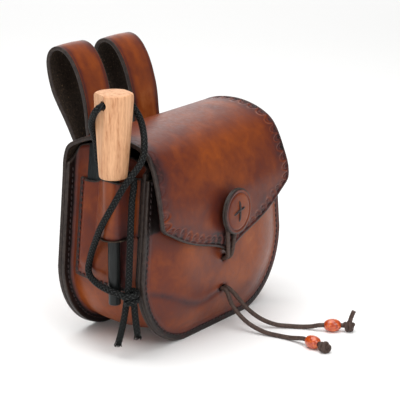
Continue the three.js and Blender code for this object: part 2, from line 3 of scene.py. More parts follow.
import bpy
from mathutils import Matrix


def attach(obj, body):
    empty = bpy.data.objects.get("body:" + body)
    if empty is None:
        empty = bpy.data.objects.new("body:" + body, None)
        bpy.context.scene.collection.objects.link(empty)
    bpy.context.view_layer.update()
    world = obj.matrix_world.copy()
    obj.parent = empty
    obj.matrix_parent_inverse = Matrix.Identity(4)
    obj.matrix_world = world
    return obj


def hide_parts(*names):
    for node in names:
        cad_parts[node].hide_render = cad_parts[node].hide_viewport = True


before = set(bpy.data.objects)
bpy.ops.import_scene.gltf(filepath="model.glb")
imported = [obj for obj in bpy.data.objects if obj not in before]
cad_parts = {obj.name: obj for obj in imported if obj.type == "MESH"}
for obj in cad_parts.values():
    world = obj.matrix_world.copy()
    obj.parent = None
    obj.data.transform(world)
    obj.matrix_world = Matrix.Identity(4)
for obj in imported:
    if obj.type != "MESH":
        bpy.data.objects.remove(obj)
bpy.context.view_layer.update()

import math

import bmesh
import bpy
from bpy.props import FloatProperty, FloatVectorProperty, PointerProperty
from bpy.types import Operator, Panel, PropertyGroup
from mathutils import Matrix, Vector, noise

bl_info = {
    "name": "Hunting pouch",
    "version": (1, 0, 0),
    "blender": (4, 5, 0),
    "location": "View3D > Sidebar > Pouch",
    "description": "Dresses the packed pouch with tooled leather, cords, stitching and a fire steel",
    "category": "Object",
}

MM = 0.001
# Marks of a leather surface: millimetres from its edge, how much dye it holds, how much it is rubbed. In
# places the dye mark also carries painted shade and the rub mark painted light
MARKS = ("edge", "dye", "rub")
# Material slots of a leather piece
GRAIN, BURNISHED, FLESH = range(3)

# Sizes in millimetres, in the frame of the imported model: front towards -Y, +Z up. TAPER, PATCH_SLOPE and
# HANDLE_LEAN are slopes, FLAT_TURN is in radians, and the two rows count points of the flap's profile.
LEATHER = 2.6
HALF_WIDTH = 81.1
CORNER = 50.0
TAPER = 0.11
BACK_FACE = 1.3
FRONT_FACE = -68.0
FRONT_TOP = 116.0
SEWN_MARGIN = 7.0
SWELL = 8.2
SWELL_RUN = 34.0
SWELL_FADE = 60.0
WEB_INSET = 6.0
WEB_CROWN = 3.0
WEB_TOP = 119.0
WEB_MIDDLE = -33.35
WEB_REACH = 26.0
FLAP_CORNER_SOFTNESS = 6.0
FLAP_CROWN = 1.0
FLAP_FRONT_ROW = 8
BORDER_ROW = 2.6
HOLE_HALF = (3.2, 2.0)
HOLES = (27.3, 48.5)
BUTTON_Z = 82.4
BUTTON_BACK = -83.8
POST_R = 5.0
POST_BACK = -80.5
STEEL = (-85.5, -48.4)
ROD_R = 4.0
ROD_BOTTOM = 34.0
ROD_SEAT = 11.5
HANDLE_BOTTOM = 118.0
CORD_HOLE = (-48.8, 166.5)
CORD_HOLE_R = 3.0
HANDLE_LEAN = (0.02, -0.009)
FLAT_FROM_AXIS = 10.3
FLAT_TURN = 0.45
STRIKER = {"width": 11.0, "thick": 2.4, "bottom": 56.0, "top": 133.0, "middle": -22.5, "lift": 0.8}
PATCH = 2.2
PATCH_SEAT = 2.5
PATCH_FRONT = -59.6
PATCH_TOP = 110.0
PATCH_BOTTOM = 46.5
PATCH_REAR = -11.2
PATCH_SLOPE = 0.137
PATCH_STITCH = 1.7
POCKET_RISE = 4.0
POCKET_REAR = -13.2
POCKET_STEP = 5.2
POCKET_FRONT = -29.4
CHANNEL_TOP = 115.4
CHANNEL_R = 6.6
SLIT_Z = 76.5
SLIT_BEND = 1.5
STRAP_THICK = 3.2
LOOP_SEAM = {"inset": 3, "bottom": 90, "top": 99}
STITCH_INSET = 3.4

# Outer face of the flap over the top, at its left and right edges: distance from the middle, depth, height
FLAP_LEFT = [
    (74.3, 1.3, 112), (73.4, 1.1, 122), (73.1, -1.8, 130.2), (73, -8.5, 134.6), (73, -20, 138.8),
    (73, -38, 140.2), (73.3, -55, 138.8), (74, -66.3, 133.8), (74.8, -72, 125.3), (75.5, -77, 108.4),
    (75.8, -79.4, 94), (76.2, -80.2, 78), (76.2, -79.2, 53.6),
]
FLAP_RIGHT = [
    (74.3, 1.3, 112), (73.4, 1.1, 122), (73.1, -1.8, 130.2), (73, -8.5, 134.4), (73, -20, 138.6),
    (73, -38, 139.6), (73.3, -53.5, 135.8), (74, -64.2, 129.2), (74.8, -69.5, 121.2), (76, -74.2, 108.4),
    (77.3, -77.4, 96), (77.6, -78.4, 79.5), (77.6, -79.2, 53.6),
]
# Lower edge of the flap from its blunt point up to its corners: height, distance from the middle
FLAP_POINT = [
    (53.6, 1.2), (56.6, 5), (59.4, 11), (62.4, 20), (65.6, 32), (69.8, 45), (75.6, 57.5), (82, 69.5),
    (88, 84), (130, 200),
]
# Section of the gusset from the front flange to the back one: depth, inset (None on the web), top end
GUSSET_SECTION = [
    (-62.6, 0, 119.5), (-62.6, 2, 120.5), (-62.3, 3.8, 121.5), (-61.2, 5.4, 122.5), (-59.4, None, 123.5),
    (-52, None, 126.5), (-43, None, 129), (-33, None, 131), (-23, None, 132.5), (-14, None, 131.5),
    (-7.3, None, 129.5), (-5.5, 5.4, 125.5), (-4.4, 3.8, 121.5), (-4.1, 2, 119.5), (-4.1, 0, 118.5),
]
# Middle line of a belt loop's strap from its sewn front end to its sewn rear end: depth, height
LOOP_PATH = [
    (3.2, 88), (3.2, 100), (4.6, 112), (7.2, 122), (8.8, 131), (9.8, 142), (11, 150), (12.8, 157),
    (15.2, 164.5), (18.6, 172), (22.6, 178), (27, 182), (31.6, 183.6), (36.2, 182.9), (39.8, 179.6),
    (41.4, 174.2), (41, 167.8), (39.6, 161), (37, 153), (32.4, 144.4), (27.6, 136.4), (22, 126),
    (17, 116), (11.8, 107), (7.4, 100), (6.7, 88),
]
# Belt loops: name, left side, right side, how much lower than the path
BELT_LOOPS = (("belt_loop_left", -38.0, -10.0, -1.0), ("belt_loop_right", 13.5, 42.2, 1.4))
# Half section of the button from its back: radius, height
BUTTON_PROFILE = [
    (0, 0), (14.2, 0), (15.1, 0.35), (15.5, 0.9), (15.3, 1.5), (14.7, 1.85), (15.2, 2.2), (15.5, 2.7),
    (15.2, 3.25), (14.5, 3.55), (13.4, 3.62), (13, 3.3), (12.4, 3.25), (12, 3.6), (10.5, 3.72), (8, 3.85),
    (5.5, 3.93), (3, 3.98), (0, 4),
]
# Half section of the handle from its socket up: radius, height
HANDLE_PROFILE = [
    (4.4, 118), (7.4, 118), (8.5, 118.5), (9, 119.4), (9.3, 122), (10, 131), (10.6, 140), (11.2, 148),
    (11.8, 156), (12.3, 164), (12.6, 169), (12.65, 171), (12.4, 172.2), (11.6, 172.9), (10.4, 173),
]
# Dark pull mark across the front panel, where the laces have drawn the leather: x, z
CREASE = [
    (-76, 41.5), (-63, 37.4), (-52, 32.9), (-40.6, 27.6), (-29, 23.6), (-19.7, 22.8), (-10.2, 24.6),
    (-3, 26.4),
]
# Rubbed places of the front panel, the flap and the right belt loop: amount, then middle and reach in x and z
FRONT_RUBS = [(0.8, (-40, 34), (60, 16)), (0.55, (6, 26), (36, 12)), (0.7, (-25, 32), (13, 9))]
FLAP_TOP_RUB = (0.6, (6, 46), (112, 30))
FLAP_LOW_RUB = (0.5, (-20, 13), (77, 13))
LOOP_RUB = (0.9, (29, 6), (146, 11))
# Creased line along the flap's edge and painted shadow ring round the button: middle and reach of each, the
# ring's x
EDGE_CREASE = (1.7, 0.5)
BUTTON_SHADOW = (13, 6)
BUTTON_SHADOW_X = -3
# How dark each mark is made, from 0 to 1: dye of the leather, except the entries named painted and the lace
# holes' dimples, which are painted shade
DYE_AND_PAINTED_SHADE = {
    "stamp": 0.16, "edge crease": 0.35, "painted button shadow": 0.4, "panel groove": 0.2, "pull mark": 0.6,
    "lace hole": 0.5, "sewn margin": 0.5, "patch groove": 0.3, "painted channel shade": 0.5, "slit": 0.6,
    "loop line": 0.5,
}
# How much lighter each place is made, from 0 to 1: rubbed bare, except the entries named painted and the
# channel's, which are painted light
WEAR_AND_PAINTED_LIGHT = {
    "back": 0.25, "flap bend": 0.3, "stamp ridge": 0.95, "painted right front light": 0.85, "web": 0.3, "patch": 0.25,
    "channel": 0.4, "painted fold highlight": 0.8, "loop": 0.3, "loop streaks": 0.7, "loop front": 0.5, "painted loop edge highlight": 0.9,
}
# Depths of what is pressed into the leather
CREASE_DEPTH = 0.25
GROOVE_DEPTH = 0.4
PULL_DEPTH = 0.9
HOLE_DIP = 0.3
WAVE_DEPTH = 0.5

# Routes of the cords. The closure runs up to 2.5 mm beside its solid, and the lanyard's last points leave
# room for the frays; the others are those of the part's source.
CLOSURE = [
    (1.7, -74.6, 48.5), (1.2, -78, 49), (0.2, -81, 51.6), (0.4, -82, 55.5), (1.8, -82, 62), (3.8, -82, 70),
    (6.2, -82, 77.5), (6.8, -82, 82.4), (4.8, -82, 87.2), (0, -82, 89.2), (-4.8, -82, 87.2),
    (-6.8, -82, 82.4), (-6.6, -82, 77.5), (-5.8, -82, 70), (-5.2, -82, 62), (-4.6, -81.8, 56),
    (-3.6, -80.8, 52), (-2.2, -78, 49.2), (-1.7, -74.6, 48.5),
]
LACE_UPPER = [
    (1.7, -74.6, 27.3), (1.8, -78, 26.8), (3.8, -80.2, 24), (5.6, -82.6, 20.4), (6.6, -89.7, 13.6),
    (11, -98, 6.5), (16.1, -106.9, 2.6), (21.4, -115.2, 1.6), (25, -122.6, 1.6), (26.6, -128.8, 2.6),
    (27.6, -133.4, 4), (28.6, -136.4, 4.4), (32, -141.6, 4.4), (35.4, -146.8, 4.4),
]
LACE_LOWER = [
    (-1.7, -74.6, 27.3), (-1.8, -78, 26.6), (-1.8, -80.4, 23), (-2.2, -83, 18.2), (-2.6, -89.7, 11.6),
    (-1.4, -97.2, 6), (-0.4, -108, 2.4), (0.7, -119, 1.6), (0.7, -128, 2), (-0.4, -135, 3.4),
    (-1.4, -139.2, 4.3), (-2.1, -141.9, 4.4), (-3.6, -147.9, 4.4), (-5.1, -153.9, 4.4),
]
# Ends of the laces past their beads, in the knots and out of them
LACE_TAILS = {
    "upper": [(38.0, -150.8, 4.4), (38.2, -151.6, 8), (38.7, -152.6, 11.6), (39.4, -153.6, 14.6)],
    "lower": [(-6.2, -158.4, 4.2), (-6.9, -161, 3.9)],
}
LACE_KNOT_AHEAD = 4.8
LACE_KNOT_Z = 3.9
LANYARD_LEFT = [
    (-85.7, -48.8, 166.5), (-94, -48.8, 166.5), (-99, -48.8, 166.2), (-98.9, -45.4, 163),
    (-96.3, -41.2, 158.4), (-93.3, -37.8, 153), (-88.9, -35.6, 146.5), (-85.3, -35, 139),
    (-83.8, -35, 131), (-82.6, -35, 125.6), (-79, -36.6, 121.4), (-74.6, -41, 119.6), (-73, -47, 118.8),
    (-74, -53, 118), (-77, -58, 116.4), (-81, -61.2, 113.2), (-84.3, -62.4, 107.6), (-85.9, -62.6, 98),
    (-86.2, -62, 84), (-86.2, -61.2, 68), (-86.7, -60.8, 54), (-87, -60.4, 47.9), (-87.6, -60.2, 42),
    (-88.2, -59.4, 36), (-88.6, -58, 27), (-89.1, -55.8, 17), (-89.5, -54.1, 10.6),
]
LANYARD_RIGHT = [
    (-85.3, -48.8, 166.5), (-74, -48.8, 166.5), (-70.4, -49.4, 165.2), (-68, -52.2, 160.4),
    (-67.6, -56.6, 154), (-70.6, -61.2, 147.5), (-76.3, -66.2, 141), (-79.5, -67.8, 134.6),
    (-84, -67.8, 128.6), (-89.3, -66.2, 123.2), (-93.5, -63.2, 116.6), (-95.6, -59.6, 109.6),
    (-96, -55.5, 102.8), (-95.5, -50.4, 95.2), (-94.2, -44.4, 86.5), (-91.4, -38.2, 76.5),
    (-88.6, -32.8, 67.4), (-86.4, -28.8, 58.8), (-86.4, -28, 53.6), (-87, -30, 50), (-88.6, -34.4, 48),
    (-90.8, -40.2, 46.8), (-92.4, -47, 45.8), (-92, -52, 44.6), (-90.4, -55.6, 43.4), (-87.8, -60.4, 41.4),
    (-86.2, -63.4, 38.6), (-86, -64.2, 36), (-86.3, -65.2, 29), (-86.6, -66.4, 22), (-86.7, -67.2, 17.6),
]
LANYARD_KNOT = (-87.0, -61.8, 42.0)
# Form of the two cords, and of the coils of their knots
LACE_FORM = {"sides": 14, "step": 0.8}
BRAID_FORM = {"sides": 40, "step": 0.36, "relief": 0.32}
LACE_COIL = {"count": 28, "start": 0.6, "turns": 2.1, "wide": 2.4, "tall": 5.6, "narrow": 0.35, "opening": 4}
BRAID_COIL = {"count": 34, "start": 2.2, "turns": 1.9, "wide": 4.1, "tall": 7.4, "narrow": 0.4, "opening": 5}
# Seams along the outline of the panels and of the gusset's flanges: name, depth, side that shows
OUTLINE_SEAMS = (
    ("front_stitches", FRONT_FACE + 0.35, -1),
    ("back_stitches", BACK_FACE, 1),
    ("front_flange_stitches", GUSSET_SECTION[0][0], 1),
    ("back_flange_stitches", GUSSET_SECTION[-1][0] - 0.2, -1),
)
SEAM_POINTS = 240
# Soft lights, the point that they face and half the floor's side, in metres: name, place, width, height
LIGHTS = (
    ("top_light", (-0.15, 0.1, 1.25), 1.4, 1.4),
    ("key_light", (-0.5, -1.3, 0.9), 0.9, 0.9),
    ("back_light", (1.45, 1.05, 0.62), 2.4, 1.0),
    ("fill_light", (-1.3, -0.2, 0.35), 1.0, 0.6),
)
LIT_POINT = (0.0, -0.04, 0.07)
FLOOR_HALF = 6.0
# Width of the camera's sensor in millimetres
SENSOR = 36.0


def linear(hex_colour):
    """Linear RGBA of an sRGB hex colour."""
    parts = [int(hex_colour[k:k + 2], 16) / 255 for k in (1, 3, 5)]
    return [p / 12.92 if p <= 0.04045 else ((p + 0.055) / 1.055) ** 2.4 for p in parts] + [1.0]


def colour(name, description, hex_colour):
    """Property that holds one colour of the pouch."""
    return FloatVectorProperty(name=name, description=description, subtype='COLOR', size=4, min=0, max=1,
                               default=linear(hex_colour))


def distance(name, description, metres):
    """Property that holds one size of the pouch."""
    return FloatProperty(name=name, description=description, default=metres, subtype='DISTANCE',
                         unit='LENGTH', precision=5)


def power(name, description, watts):
    """Property that holds the power of one light."""
    return FloatProperty(name=name, description=description, default=watts, subtype='POWER', unit='POWER')


def location(name, description, point):
    """Property that holds a place in the scene."""
    return FloatVectorProperty(name=name, description=description, default=point, subtype='TRANSLATION',
                               unit='LENGTH')


class PouchLeather(PropertyGroup):
    """Sizes and colours of the leather."""
    # The worn and rubbed browns also serve the painted light, the shaded brown and the edge colour the
    # painted shade
    pale: colour("Worn leather", "Paler brown where the grain is worn most", "#9E5628")
    bright: colour("Rubbed leather", "Orange brown where the dye was rubbed thin", "#8C4214")
    middle: colour("Dyed leather", "Reddish brown of most of the body", "#642A17")
    deep: colour("Shaded leather", "Purple brown towards the seams", "#482422")
    edge: colour("Burnished edge", "Near black of the polished cut edges", "#1C1413")
    flesh: colour("Flesh side", "Dyed suede inside the loops and the body", "#2A2420")
    thread: colour("Thread", "Waxed thread of the seams", "#120809")
    edge_fade: distance("Edge fade", "Distance over which the dark edge fades out", 0.016)
    stamp_depth: distance("Stamp depth", "Depth of the scalloped border stamps", 0.0007)
    stamp_pitch: distance("Stamp pitch", "Distance between two scallops", 0.0076)
    stitch_pitch: distance("Stitch pitch", "Distance between two stitches", 0.0038)


class PouchCords(PropertyGroup):
    """Sizes and colours of the laces, the lanyard and the beads."""
    lace_diameter: distance("Lace", "Diameter of the round leather lace", 0.003)
    cord_diameter: distance("Lanyard", "Diameter of the braided cord", 0.0042)
    lace: colour("Lace colour", "Dark brown waxed leather", "#2C1F1A")
    cord: colour("Lanyard colour", "Black nylon", "#020202")
    bead: colour("Bead colour", "Orange red lacquer", "#C24A16")


class PouchTools(PropertyGroup):
    """Colours of the fire steel and the striker."""
    beech: colour("Beech", "Pale wood of the handle", "#DDAA80")
    grain: colour("Beech grain", "Darker streaks of the wood", "#B67A50")
    rod: colour("Ferro rod", "Dark grey coated rod", "#0D0E0E")
    striker: colour("Striker", "Blackened steel", "#121516")


class PouchStage(PropertyGroup):
    """Camera, lights and floor."""
    eye: location("Camera place", "Where the camera stands", (-1.00891, -0.75025, 0.42618))
    target: location("Camera target", "Point that the camera looks at", (0.03487, -0.032, 0.07344))
    lens: FloatProperty(name="Focal length", description="Focal length in millimetres", default=171.0,
                        subtype='DISTANCE_CAMERA', unit='CAMERA')
    floor: colour("Floor", "Pale matt floor", "#FDFDFC")
    sky: FloatProperty(name="Surround", description="Strength of the even surrounding light", default=0.22)
    top_light: power("Top light", "Soft light above", 19.0)
    key_light: power("Key light", "Soft light in front, left of the middle", 9.0)
    back_light: power("Back light", "Wide light behind, mirrored by the flap's top", 11.0)
    fill_light: power("Fill light", "Weak low light from the left", 3.6)


def clamp01(value):
    return min(1.0, max(0.0, value))


def ease(value):
    t = clamp01(value)
    return t * t * (3 - 2 * t)


def rise(value, start, run):
    """0 up to the start and 1 past the run after it."""
    return ease((value - start) / run)


def fall(value, end, run):
    """1 before the run that leads to the end and 0 past it."""
    return ease((end - value) / run)


def blend(a, b, t):
    return a + (b - a) * t


def blend_colour(a, b, share):
    return [blend(x, y, share) for x, y in zip(a, b)]


def bell(value, middle, reach):
    """1 at the middle, falling to almost nothing at twice the reach on both sides."""
    return math.exp(-((value - middle) / reach) ** 2)


def rubbed_at(x, z, place):
    amount, wide, tall = place
    return amount * bell(x, *wide) * bell(z, *tall)


def soft_min(a, b, softness):
    return (a + b - math.hypot(a - b, softness)) / 2


def spline(points, t):
    """Point on the centripetal Catmull-Rom curve through the points."""
    place = clamp01(t) * (len(points) - 1)
    index = min(int(place), len(points) - 2)
    w = place - index
    p1 = Vector(points[index])
    p2 = Vector(points[index + 1])
    p0 = Vector(points[index - 1]) if index > 0 else p1 * 2 - p2
    p3 = Vector(points[index + 2]) if index + 2 < len(points) else p2 * 2 - p1
    d0 = max((p1 - p0).length ** 0.5, 1e-4)
    d1 = max((p2 - p1).length ** 0.5, 1e-4)
    d2 = max((p3 - p2).length ** 0.5, 1e-4)
    t1 = ((p1 - p0) / d0 - (p2 - p0) / (d0 + d1) + (p2 - p1) / d1) * d1
    t2 = ((p2 - p1) / d1 - (p3 - p1) / (d1 + d2) + (p3 - p2) / d2) * d1
    return p1 + t1 * w + (p2 * 3 - p1 * 3 - t1 * 2 - t2) * w ** 2 + (p1 * 2 - p2 * 2 + t1 + t2) * w ** 3


def even_route(points, step):
    """Points at equal distances along the curve through a route."""
    spans = 30 * (len(points) - 1)
    dense = [spline(points, k / spans) for k in range(spans + 1)]
    travelled = [0.0]
    for a, b in zip(dense, dense[1:]):
        travelled.append(travelled[-1] + (b - a).length)
    count = max(2, round(travelled[-1] / step))
    route = []
    k = 0
    for n in range(count + 1):
        goal = travelled[-1] * n / count
        while k < spans - 1 and travelled[k + 1] < goal:
            k += 1
        share = (goal - travelled[k]) / max(travelled[k + 1] - travelled[k], 1e-9)
        route.append(dense[k].lerp(dense[k + 1], clamp01(share)))
    return route


def route_length(points):
    route = even_route(points, 0.5)
    return sum((b - a).length for a, b in zip(route, route[1:]))


# Shapes of the leather

def panel_half(z):
    if z >= CORNER:
        return HALF_WIDTH - TAPER * (z - CORNER)
    return HALF_WIDTH - CORNER + math.sqrt(max(0.0, CORNER ** 2 - (CORNER - z) ** 2))


def from_edge(x, z):
    """Distance of a point of a panel from the panel's side and bottom edges."""
    flat = HALF_WIDTH - CORNER
    if z >= CORNER:
        return panel_half(z) - abs(x)
    if abs(x) <= flat:
        return z
    return CORNER - math.hypot(abs(x) - flat, z - CORNER)


def front_y(x, z):
    """Depth of the front panel's moulded face."""
    fade = 1 - rise(z, SWELL_FADE, FRONT_TOP - SWELL_FADE)
    climb = clamp01((from_edge(x, z) - SEWN_MARGIN) / SWELL_RUN)
    return FRONT_FACE - SWELL * fade * (1 - (1 - climb) ** 2)


def web_crown(y, z):
    across = clamp01(1 - ((y - WEB_MIDDLE) / WEB_REACH) ** 2)
    return WEB_CROWN * across * clamp01((WEB_TOP - z) / (WEB_TOP - CORNER))


def web_x(y, z):
    """Outer face of the gusset's web on the left side."""
    inset = WEB_INSET - web_crown(y, z)
    if z >= CORNER:
        return inset - panel_half(z)
    return -(HALF_WIDTH - CORNER) - math.sqrt(max(0.0, (CORNER - inset) ** 2 - (CORNER - z) ** 2))


def panel_outline(share, inset):
    """Point x, z on the U of a panel's edge, moved in by inset, from the top left round to the top right."""
    flat = HALF_WIDTH - CORNER
    side = FRONT_TOP - CORNER
    turn = CORNER * math.pi / 2
    length = 2 * (side + turn + flat)
    s = share * length
    mirrored = s > length / 2
    s = length - s if mirrored else s
    if s <= side:
        z = FRONT_TOP - s
        x = -(panel_half(z) - inset)
    elif s <= side + turn:
        angle = (s - side) / CORNER
        x = -flat - (CORNER - inset) * math.cos(angle)
        z = CORNER - (CORNER - inset) * math.sin(angle)
    else:
        x = -flat + (s - side - turn)
        z = inset
    return (-x if mirrored else x), z


def between(table, place):
    """Value at a place in a table of places and values, on the straight lines between its rows."""
    for (start, low), (stop, high) in zip(table, table[1:]):
        if place <= stop:
            return blend(low, high, clamp01((place - start) / (stop - start)))
    return table[-1][1]


def distance_to(route, x, z):
    """Distance of a point from a line of points in the same plane."""
    best = 1e9
    for (ax, az), (bx, bz) in zip(route, route[1:]):
        span = (bx - ax) ** 2 + (bz - az) ** 2
        t = clamp01(((x - ax) * (bx - ax) + (z - az) * (bz - az)) / span)
        best = min(best, math.hypot(x - blend(ax, bx, t), z - blend(az, bz, t)))
    return best


# Mesh tools

# The four borders of a grid in one turn round it
AROUND = (lambda t: (t, 0.0), lambda t: (1.0, t), lambda t: (1 - t, 1.0), lambda t: (0.0, 1 - t))


def new_shape():
    """Empty mesh with the marks that the leather's dye, wear and painted light and shade follow."""
    shape = bmesh.new()
    for mark in MARKS:
        shape.verts.layers.float.new(mark)
    return shape


def add_grid(shape, columns, rows, place, finish=GRAIN):
    """Bends a grid by place(u, v), which gives a point in millimetres and its edge, dye and rub marks."""
    marks = [shape.verts.layers.float[name] for name in MARKS]
    verts = bmesh.ops.create_grid(shape, x_segments=columns, y_segments=rows, size=1.0)["verts"]
    for vert in verts:
        point, *values = place((vert.co.x + 1) / 2, (vert.co.y + 1) / 2)
        vert.co = Vector(point) * MM
        for mark, value in zip(marks, values):
            vert[mark] = value
    faces = list({face for vert in verts for face in vert.link_faces})
    for face in faces:
        face.material_index = finish
        face.smooth = True
    return verts, faces


def edge_frames(place, borders, steps):
    """Edge points of a sheet with the directions out of the sheet and out of its face."""
    around = []
    nudge = 0.004
    for border, count in zip(borders, steps):
        for k in range(count):
            u, v = border(k / count)
            a = Vector(place(*border(max(0.0, (k - 0.5) / count)))[0])
            b = Vector(place(*border(min(1.0, (k + 0.5) / count)))[0])
            point = Vector(place(u, v)[0])
            inner_u = min(max(u, nudge), 1 - nudge)
            inner_v = min(max(v, nudge), 1 - nudge)
            along = (b - a).normalized()
            out = point - Vector(place(inner_u, inner_v)[0])
            out -= along * out.dot(along)
            out.normalize()
            around.append((point, out, out.cross(along).normalized()))
    return around


def add_edge(shape, around, thickness, reach, closed, finish=BURNISHED):
    """Rounded edge, burnished unless another finish is given, swept round a sheet's cut edge."""
    proud = 0.05
    lap = 0.7
    section = [(-lap, proud)]
    for k in range(9):
        turn = math.pi * k / 8
        section.append((reach * math.sin(turn) ** 0.8 if 0 < k < 8 else -0.1,
                        -thickness / 2 + (thickness / 2 + proud) * math.cos(turn)))
    section.append((-lap, -thickness - proud))
    count = len(around)
    rows = count if closed else count - 1

    def place(u, v):
        point, out, face = around[round(v * rows) % count]
        aside, up = section[round(u * (len(section) - 1))]
        spot = point + out * aside + face * up
        spot.z = max(spot.z, 0.0)
        return spot, 0.0, 0.0, 0.0

    verts, _ = add_grid(shape, len(section) - 1, rows, place, finish)
    if closed:
        bmesh.ops.remove_doubles(shape, verts=verts, dist=1e-6)


def thicken(shape, faces, thickness):
    """Gives a sheet its wall, away from the grain side."""
    shape.normal_update()
    before = set(shape.faces)
    bmesh.ops.solidify(shape, geom=faces, thickness=thickness * MM)
    for face in shape.faces:
        if face not in before:
            face.material_index = FLESH
            face.smooth = True


def finish_piece(name, shape, recipes, nodes=()):
    """Makes the object of a piece, at the origin, riding on the pouch, with one material for each recipe."""
    mesh = bpy.data.meshes.new(name)
    shape.to_mesh(mesh)
    shape.free()
    for recipe in recipes:
        mesh.materials.append(material_for(recipe))
    piece = bpy.data.objects.new(name, mesh)
    bpy.context.scene.collection.objects.link(piece)
    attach(piece, "root")
    if nodes:
        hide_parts(*nodes)
    return piece


def leather_sheet(name, place, columns, rows, ends, thickness, reach):
    """Makes a leather piece of one bent sheet, with its wall and its burnished edge."""
    shape = new_shape()
    _, faces = add_grid(shape, columns, rows, place)
    thicken(shape, faces, thickness)
    around = edge_frames(place, AROUND, (ends[0], rows, ends[1], rows))
    add_edge(shape, around, thickness, reach, closed=True)
    finish_piece(name, shape, LEATHER_SIDES, (name,))


def turned(shape, profile, segments, matrix):
    """Turns a profile of radius and height round Z, closes it and puts it in place."""
    before = set(shape.verts)
    line = [shape.verts.new((radius * MM, 0, z * MM)) for radius, z in profile]
    edges = [shape.edges.new(pair) for pair in zip(line, line[1:])]
    bmesh.ops.spin(shape, geom=line + edges, cent=(0, 0, 0), axis=(0, 0, 1), angle=2 * math.pi,
                   steps=segments, use_merge=True)
    verts = [vert for vert in shape.verts if vert not in before]
    bmesh.ops.remove_doubles(shape, verts=verts, dist=1e-7)
    verts = [vert for vert in shape.verts if vert not in before]
    faces = list({face for vert in verts for face in vert.link_faces})
    bmesh.ops.recalc_face_normals(shape, faces=faces)
    bmesh.ops.transform(shape, matrix=matrix, verts=verts)
    for face in faces:
        face.smooth = True
    return verts


def sharpen(shape, degrees):
    """Keeps creases sharper than the angle from being shaded round."""
    for line in shape.edges:
        if len(line.link_faces) == 2:
            line.smooth = line.calc_face_angle() < math.radians(degrees)


def drill_cord_hole(piece):
    """Cuts the cord hole through the handle, along X."""
    shape = bmesh.new()
    place = Matrix.Translation(Vector((STEEL[0], *CORD_HOLE)) * MM) @ Matrix.Rotation(math.pi / 2, 4, 'Y')
    bmesh.ops.create_cone(shape, cap_ends=True, segments=40, radius1=CORD_HOLE_R * MM,
                          radius2=CORD_HOLE_R * MM, depth=60 * MM, matrix=place)
    mesh = bpy.data.meshes.new("drill")
    shape.to_mesh(mesh)
    shape.free()
    cutter = bpy.data.objects.new("drill", mesh)
    bpy.context.scene.collection.objects.link(cutter)
    hole = piece.modifiers.new("hole", 'BOOLEAN')
    hole.operation = 'DIFFERENCE'
    hole.solver = 'EXACT'
    hole.object = cutter
    view = bpy.context.evaluated_depsgraph_get()
    drilled = bpy.data.meshes.new_from_object(piece.evaluated_get(view))
    piece.modifiers.remove(hole)
    old = piece.data
    piece.data = drilled
    bpy.data.meshes.remove(old)
    bpy.data.objects.remove(cutter)
    drilled.name = piece.name


def braid_height(u, s, strands, cell):
    """Height from 0 to 1 of a plain braid at a turn and a distance along the cord."""
    a = strands * u + s / (2 * cell)
    b = strands * u - s / (2 * cell)
    over = (math.floor(a) + math.floor(b)) % 2 == 0
    return math.sin(math.pi * ((a if over else b) % 1.0))


def add_cord(shape, points, radius, sides, step, relief=0.0):
    """Round cord along a route, with closed ends and a braided surface where relief is given."""
    route = even_route(points, step)
    last = len(route) - 1
    frames = []
    aside = Vector((0.31, 0.52, 0.79))
    for k in range(last + 1):
        along = (route[min(k + 1, last)] - route[max(k - 1, 0)]).normalized()
        aside = (aside - along * aside.dot(along)).normalized()
        frames.append((aside.copy(), along.cross(aside)))
    strands = 5
    cell = math.pi * radius / strands

    def place(u, v):
        row = round(v * (last + 2))
        k = min(max(row - 1, 0), last)
        first, second = frames[k]
        if relief:
            height = braid_height(u % 1.0, k * step, strands, cell)
            swell = relief * (height - 0.6)
        else:
            height = 0.5 + 0.5 * math.sin(k * 1.7 + 9 * u)
            swell = 0.06 * (height - 0.5)
        size = 0.0 if row in (0, last + 2) else radius + swell
        turn = 2 * math.pi * u
        point = route[k] + first * (size * math.cos(turn)) + second * (size * math.sin(turn))
        # The dye mark carries painted shade where the strands go under, which only the braided cord's
        # material reads
        return point, 0.0, 1 - height, 0.0

    verts, _ = add_grid(shape, sides, last + 2, place)
    bmesh.ops.remove_doubles(shape, verts=verts, dist=1e-7)
    bmesh.ops.recalc_face_normals(shape, faces=shape.faces[:])


def add_stitches(shape, seam, pitch, length, thread):
    """Row of saddle stitches along a seam of points and face directions, slanted and half sunk."""
    slant = 0.16
    raised = 0.12
    travelled = 0.0
    goal = pitch / 2
    for (a, face), (b, _) in zip(seam, seam[1:]):
        span = (b - a).length
        while goal <= travelled + span and span > 0:
            middle = a.lerp(b, (goal - travelled) / span)
            along = (b - a).normalized()
            across = face.cross(along).normalized()
            along = (along + across * slant).normalized()
            across = face.cross(along).normalized()
            turn = Matrix((along, across, face)).transposed().to_4x4()
            size = Matrix.Diagonal((length / 2 * MM, thread / 2 * MM, thread / 2 * MM, 1))
            matrix = Matrix.Translation((middle + face * (thread * raised)) * MM) @ turn @ size
            bmesh.ops.create_uvsphere(shape, u_segments=8, v_segments=5, radius=1.0, matrix=matrix)
            goal += pitch
        travelled += span


# Materials

def add_node(tree, kind, inputs=None, stops=None, output=0, **settings):
    """Adds a node with its settings, values or links and colour stops, and gives one of its outputs."""
    node = tree.nodes.new(kind)
    for name, value in settings.items():
        setattr(node, name, value)
    for socket, value in (inputs or {}).items():
        if isinstance(value, bpy.types.NodeSocket):
            tree.links.new(value, node.inputs[socket])
        else:
            node.inputs[socket].default_value = value
    if stops:
        elements = node.color_ramp.elements
        while len(elements) < len(stops):
            elements.new(0.5)
        for element, (position, value) in zip(elements, stops):
            element.position = position
            element.color = value
    return node.outputs[output] if node.outputs else None


